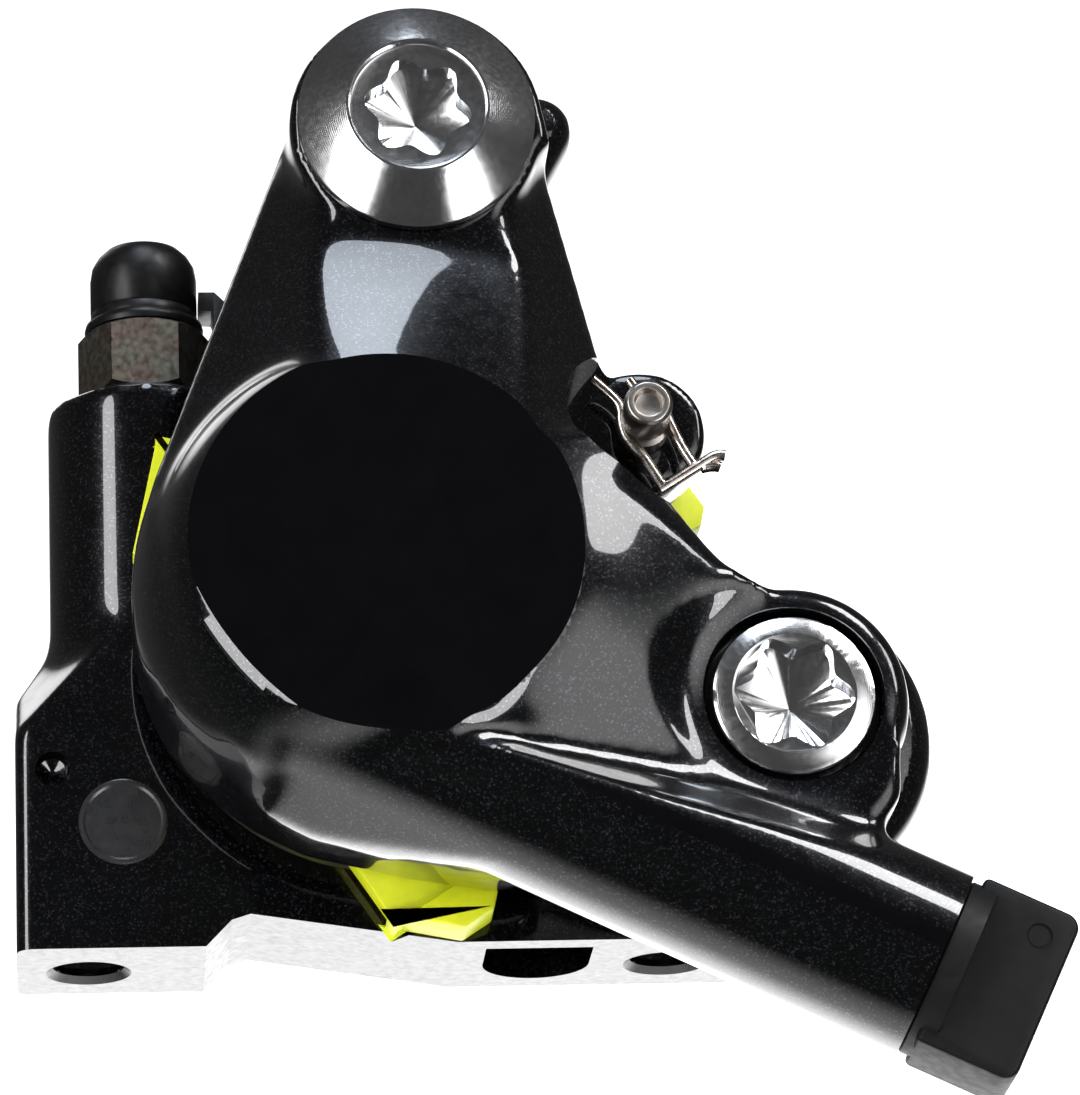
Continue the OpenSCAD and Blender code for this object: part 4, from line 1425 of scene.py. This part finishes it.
@dataclass
class PortPlug:
    """The plug in the hose port: stem, round collar and flat grip."""

    stem: float = 4.15  # Radius of the stem
    stem_length: float = 4.5  # Length of the stem
    collar: float = 5.2  # Radius of the collar
    collar_height: float = 1.65  # Height of the collar
    grip: float = 4.9  # Length of the grip beyond the collar
    thick: float = 5.6  # Thickness of the grip
    corner: float = 0.9  # Radius of the grip's corners

    def lay(self, obj: Shape, x: float = 0.0, height: float = 0.0) -> Shape:
        """Lays a shape that is drawn on the grip's face into the port's frame.

        Args:
            obj: The shape.
            x: Its shift across the grip.
            height: Its shift along the port.

        Returns:
            The same shape.
        """
        flat = Matrix(((1, 0, 0, x), (0, 0, 1, 0), (0, 1, 0, height), (0, 0, 0, 1)))
        obj.data.transform(LAYOUT.matrix(Heading.PORT) @ flat)
        close_up(obj)
        return obj

    def build(self) -> Shape:
        """Builds and dresses the plug."""
        deep, stem, wide, top = self.stem_length, self.stem, self.collar, self.collar_height
        profile = [
            (stem - 0.4, -deep), (stem, -deep + 0.5), (stem, 0.02), (wide - 0.12, 0.02),
            (wide, 0.15), (wide, top - 0.1), (wide - 0.1, top),
        ]
        obj = turned("port_plug_body", profile, Heading.PORT, sides=128)
        end, r = top + self.grip, self.corner
        outline = [(-wide, 0.6), (wide, 0.6)]
        outline += ring_outline((wide - r, end - r), r, 0, 90, 8)
        outline += ring_outline((-wide + r, end - r), r, 90, 180, 8)
        grip = slab("grip", outline, -self.thick / 2, self.thick / 2, Heading.UP)
        bevelled(grip, 0.35, 3, 40.0)
        carve(obj, self.lay(grip), cut=Cut.ADD)
        face = self.thick / 2
        gate = [(0.75, face + 0.6), (0.75, face - 0.1), (0.6, face - 0.1), (0.6, face - 0.06)]
        mark = turned("gate", gate, Heading.UP, (0, 0), 48)
        carve(obj, self.lay(mark, 3.2, end - 1.9))
        return dress(obj, Finish.PLUG, ["port_plug"], "port_plug")


@dataclass
class PadSpacer:
    """The spacer between the pads: crossbar, forked tongue and grip."""

    thick: float = 0.95  # Half the thickness of the tongue
    bar: Pair = (-9.4, -3.4)  # Reach of the crossbar along the pads' slide
    ends: Pair = (-17.2, 17.8)  # Reach of the crossbar across it
    chamfer: Pair = (3.2, 5.4)  # Cuts at the crossbar's lower and upper end
    tongue: float = 7.0  # Half the width of the tongue
    notch: float = 15.27  # Where the fork starts
    prong: Pair = (2.1, 4.8)  # Inner and outer side of each prong
    reach: float = 20.37  # End of the prongs
    grip: float = 1.6  # Half the thickness of the grip at the crossbar's lower end
    grip_start: float = -14.75  # Where the grip starts across the pads' slide
    # How much larger than the crossbar the grip is, along the slide and across it
    grip_scale: Pair = (1.03, 1.01)

    def bar_end(self, start: float) -> Outline:
        """Gives the outline of the crossbar from one place across it to its lower end."""
        low, high = self.bar
        end, cut, corner = self.ends[0], self.chamfer[0], 0.8
        return [
            (low, start), (low, end + cut), (low + cut, end),
            (high - corner, end), (high, end + corner), (high, start),
        ]

    def outline(self) -> Outline:
        """Gives the outline of the flat spacer."""
        low, high = self.bar
        near, far = self.prong
        tip, end, cut = self.reach, self.ends[1], self.chamfer[1]
        side = [
            (high, self.tongue), (self.notch - 2, self.tongue), (self.notch, far), (tip - 0.8, far),
            (tip, far - 0.8), (tip, near + 0.3), (tip - 0.4, near), (self.notch, near),
        ]
        corners = self.bar_end(-self.tongue)[1:] + [(u, -v) for u, v in side] + side[::-1]
        corners += [(high, end - 0.8), (high - 0.8, end), (low + cut, end), (low, end - cut)]
        return [LAYOUT.pad_point(u, v) for u, v in corners]

    def build(self) -> Shape:
        """Builds and dresses the spacer."""
        obj = slab("pad_spacer_fork", self.outline(), -self.thick, self.thick)
        along, across = self.grip_scale
        corners = [LAYOUT.pad_point(u * along, v * across) for u, v in self.bar_end(self.grip_start)]
        grip = slab("grip", corners, -self.grip, self.grip)
        for part in (obj, grip):
            bevelled(part, 0.16, 3, 40.0)
        carve(obj, grip, cut=Cut.ADD)
        return dress(obj, Finish.SPACER, ["pad_spacer"], "pad_spacer")


@dataclass
class PadSpring:
    """The sheet spring that holds the pads apart, in two legs that meet beyond the rotor."""

    thick: float = 0.35  # Thickness of the sheet
    top: float = 3.4  # Depth of a leg's outer face
    inner: float = 11.6  # Inner radius of a leg's arc
    outer: float = 13.0  # Outer radius of a leg's arc
    tab: float = 2.6  # Half the width of a leg's tab
    bridge: float = 1.6  # Half the width of the bridge
    reach: float = 20.17  # Outer face of the bridge along the pads' slide

    def leg(self, heading: Heading, node_owner: bool) -> Shape:
        """Builds one leg with its half of the bridge.

        Args:
            heading: Side of the leg.
            node_owner: True for the leg that stands for the CAD spring.

        Returns:
            The finished leg.
        """
        low = self.top - self.thick
        along = LAYOUT.pad_direction()
        middle = math.degrees(math.atan2(along[1], along[0]))
        half_turn, steps = 105, 60
        start, end = middle - half_turn, middle + half_turn
        arc = ring_outline(LAYOUT.piston, self.outer, start, end, steps)
        arc += ring_outline(LAYOUT.piston, self.inner, end, start, steps)
        obj = slab("spring_leg", arc, low, self.top, heading)
        tab = LAYOUT.pad_box(self.inner + 0.4, self.reach, self.tab)
        bridge = LAYOUT.pad_box(self.reach - self.thick, self.reach, self.bridge)
        carve(obj, slab("tab", tab, low, self.top, heading), cut=Cut.ADD)
        carve(obj, slab("bridge", bridge, 0.0, self.top - 0.1, heading), cut=Cut.ADD)
        carve(obj, rod(1.75, low - 1, self.top + 1, heading, LAYOUT.axle, 64))
        way = -1 if heading is Heading.INBOARD else 1
        obj.name = "pad_spring_inboard" if way < 0 else "pad_spring_outboard"
        dress(obj, Finish.SPRING, ["pad_spring"] if node_owner else [], None)
        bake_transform(obj)
        return obj

    def build(self) -> list[Shape]:
        """Builds both legs."""
        return [self.leg(Heading.INBOARD, True), self.leg(Heading.OUTBOARD, False)]


@dataclass
class FootDisc:
    """The plain round disc set into the left foot's front face."""

    centre: Pair = (-14.9, 7.6)  # Its centre
    radius: float = 2.6  # Its radius
    proud: float = 0.12  # How far it stands out

    def build(self) -> Shape:
        """Builds and dresses the disc."""
        face = LAYOUT.slot
        top = face - self.proud
        profile = [
            (self.radius, face + 0.4), (self.radius, top + 0.1), (self.radius - 0.1, top),
            (self.radius - 0.26, top), (self.radius - 0.4, top + 0.1),
        ]
        obj = turned("foot_disc", profile, Heading.OUTBOARD, self.centre, 96)
        return dress(obj, Finish.MARK)


class CarriedNodes:
    """CAD nodes whose shape is right, which only get their finishes."""

    FINISHES = {
        "crossover_o_ring": Finish.SEAL,
        "inboard_piston_seal": Finish.SEAL,
        "outboard_piston_seal": Finish.SEAL,
        "inboard_piston": Finish.CERAMIC,
        "outboard_piston": Finish.CERAMIC,
        "inboard_pad_plate": Finish.PLATE,
        "outboard_pad_plate": Finish.PLATE,
        "inboard_pad_lining": Finish.COMPOUND,
        "outboard_pad_lining": Finish.COMPOUND,
    }

    def build(self) -> None:
        """Gives each carried node its finish."""
        for node, finish in self.FINISHES.items():
            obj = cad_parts[node]
            obj.data.materials.clear()
            obj.data.materials.append(Finish.get(finish))
            LOG.info("%s: carried over", node)


@dataclass
class Studio:
    """Camera, light and floor."""

    azimuth: float = -5.0  # Camera's direction round the part, in degrees
    elevation: float = -19.5  # Camera's height angle in degrees
    roll: float = -2.31  # Camera's roll in degrees
    distance: float = 340.0  # Distance to the target in millimetres
    lens: float = 191.6  # Focal length in millimetres
    target: Triple = (9.89, -8.0, 23.38)  # Point that the camera looks at, in millimetres
    floor: float = -300.0  # Height of the floor in millimetres
    reach: float = 0.7  # Distance of the panels in metres
    dim: float = 0.06  # Strength of the surround where nothing glows
    # Soft glows of the surround: direction, where each starts and ends along it, and strength
    glows: tuple[tuple[Triple, float, float, float], ...] = (
        ((0.15, 0.9, -0.4), 0.62, 0.95, 3.0),
        ((0.06, 0.42, -0.905), 0.66, 0.98, 2.2),
        ((-0.284, 0.69, 0.666), 0.975, 0.995, 1.8),
        ((0.53, -0.85, 0.02), 0.93, 1.0, 2.6),
        ((0.082, 0.939, 0.334), 0.93, 0.985, 1.05),
    )

    def camera(self) -> None:
        """Places the camera."""
        a, e, r = (math.radians(v) for v in (self.azimuth, self.elevation, self.roll))
        back = Vector((math.sin(a) * math.cos(e), -math.cos(a) * math.cos(e), math.sin(e)))
        right = (-back).cross(Vector((0, 0, 1))).normalized()
        up = right.cross(-back)
        tilted_right = right * math.cos(r) + up * math.sin(r)
        tilted_up = up * math.cos(r) - right * math.sin(r)
        data = bpy.data.cameras.new("camera")
        data.sensor_width = 36.0
        data.sensor_fit = "HORIZONTAL"
        data.lens = self.lens
        data.clip_start = 0.01
        camera = bpy.data.objects.new("camera", data)
        bpy.context.scene.collection.objects.link(camera)
        matrix = Matrix((tilted_right, tilted_up, back)).transposed().to_4x4()
        matrix.translation = (Vector(self.target) + back * self.distance) * MM
        camera.matrix_world = matrix
        bpy.context.scene.camera = camera

    def panel(
        self,
        name: str,
        aim: Pair,
        size: Pair,
        glow: float,
        tint: Shade,
        mirrored: bool = True,
    ) -> None:
        """Hangs a soft oval panel light that faces the part.

        Args:
            name: Name of the light.
            aim: Azimuth from the front and elevation, in degrees.
            size: Width and height in metres.
            glow: Radiance.
            tint: Colour.
            mirrored: Whether glossy faces mirror it.
        """
        data = bpy.data.lights.new(name, "AREA")
        data.shape = "ELLIPSE"
        data.size, data.size_y = size
        data.energy = glow * math.pi**2 / 4 * size[0] * size[1]
        data.color = tint
        light = bpy.data.objects.new(name, data)
        light.visible_camera = False
        light.visible_glossy = mirrored
        bpy.context.scene.collection.objects.link(light)
        around, up = (math.radians(v) for v in aim)
        way = Vector((math.sin(around) * math.cos(up), -math.cos(around) * math.cos(up), math.sin(up)))
        light.location = Vector(self.target) * MM + way * self.reach
        light.rotation_euler = way.to_track_quat("Z", "Y").to_matrix().to_euler()

    def world(self) -> None:
        """Makes a dim surround with soft glows: backdrop, table and lamps that glossy faces mirror."""
        world = bpy.data.worlds.new("studio")
        bpy.context.scene.world = world
        world.use_nodes = True
        tree = world.node_tree
        source = tree.nodes.new("ShaderNodeTexCoord")
        total = tree.nodes.new("ShaderNodeValue").outputs[0]
        total.default_value = self.dim
        for way, start, end, glow in self.glows:
            along = tree.nodes.new("ShaderNodeVectorMath")
            along.operation = "DOT_PRODUCT"
            along.inputs[1].default_value = way
            ramp = tree.nodes.new("ShaderNodeMapRange")
            ramp.interpolation_type = "SMOOTHSTEP"
            for key, value in (("From Min", start), ("From Max", end), ("To Min", 0.0), ("To Max", glow)):
                ramp.inputs[key].default_value = value
            tree.links.new(source.outputs["Generated"], along.inputs[0])
            tree.links.new(along.outputs["Value"], ramp.inputs["Value"])
            both = tree.nodes.new("ShaderNodeMath")
            tree.links.new(total, both.inputs[0])
            tree.links.new(ramp.outputs["Result"], both.inputs[1])
            total = both.outputs["Value"]
        tree.links.new(total, tree.nodes["Background"].inputs["Strength"])
        tree.nodes["Background"].inputs["Color"].default_value = (1, 1, 1, 1)

    def ground(self) -> None:
        """Lays the pale floor, which mirrors leave to the surround."""
        deselect()
        bpy.ops.mesh.primitive_plane_add(size=6, location=(0, 0, self.floor * MM))
        floor = bpy.context.object
        floor.name = "floor"
        bpy.ops.object.transform_apply(location=True, rotation=True, scale=True)
        g = Graph("pale_floor")
        g.set(Base_Color=(0.9, 0.9, 0.9, 1), Roughness=0.8)
        floor.data.materials.append(g.material)
        floor.visible_glossy = False

    def build(self) -> None:
        """Sets the whole studio."""
        self.camera()
        self.world()
        self.ground()
        white, cool = (1.0, 1.0, 1.0), (0.82, 0.9, 1.0)
        panels = (
            ("left_strip", (-46.0, -5.0), (0.26, 1.0), 9.0, white),
            ("right_upper", (56.0, 27.0), (0.16, 0.24), 11.0, white),
            ("right_front", (41.0, 46.0), (0.2, 0.27), 16.0, white),
            ("right_lower", (44.0, -30.0), (0.22, 0.45), 10.0, white),
            ("upper_panel", (-2.0, 64.0), (0.26, 0.56), 8.0, cool),
        )
        for panel in panels:
            self.panel(*panel)
        self.panel("floor_fill", (180.0, 62.0), (1.2, 1.2), 2.2, white, mirrored=False)
        bpy.context.scene.view_settings.view_transform = "Standard"


def bolts() -> list[BodyBolt]:
    """Gives both body bolts."""
    upper_head = [
        (6.7, 12.25), (6.95, 12.4), (6.95, 12.95), (6.85, 13.05), (4.2, 14.75), (4.05, 14.75),
        (3.95, 14.35), (3.75, 14.3),
    ]
    lower_head = [
        (4.4, 10.75), (4.7, 10.95), (4.7, 12.7), (4.6, 12.86), (4.4, 12.95), (3.55, 13.17), (3.5, 13.15),
    ]
    return [
        BodyBolt("upper_bolt_turned", "upper_body_bolt", Finish.UPPER_BOLT, LAYOUT.upper, upper_head,
                 (16.0, 12.9, 11.5), (3.15, 2.45), -11.0),
        BodyBolt("lower_bolt_turned", "lower_body_bolt", Finish.LOWER_BOLT, LAYOUT.lower, lower_head,
                 (15.0, 11.7, 10.15), (3.45, 2.6), -5.0),
    ]


def main() -> None:
    """Sets the studio, then builds the part's pieces in order."""
    logging.basicConfig(level=logging.INFO, format="%(name)s: %(message)s")
    Studio().build()
    CarriedNodes().build()
    InboardHalf().build()
    OutboardHalf().build()
    for bolt in bolts():
        bolt.build()
    PadAxle().build()
    BleedValve().build()
    PortPlug().build()
    PadSpacer().build()
    PadSpring().build()
    FootDisc().build()


if __name__ == "__main__":
    main()
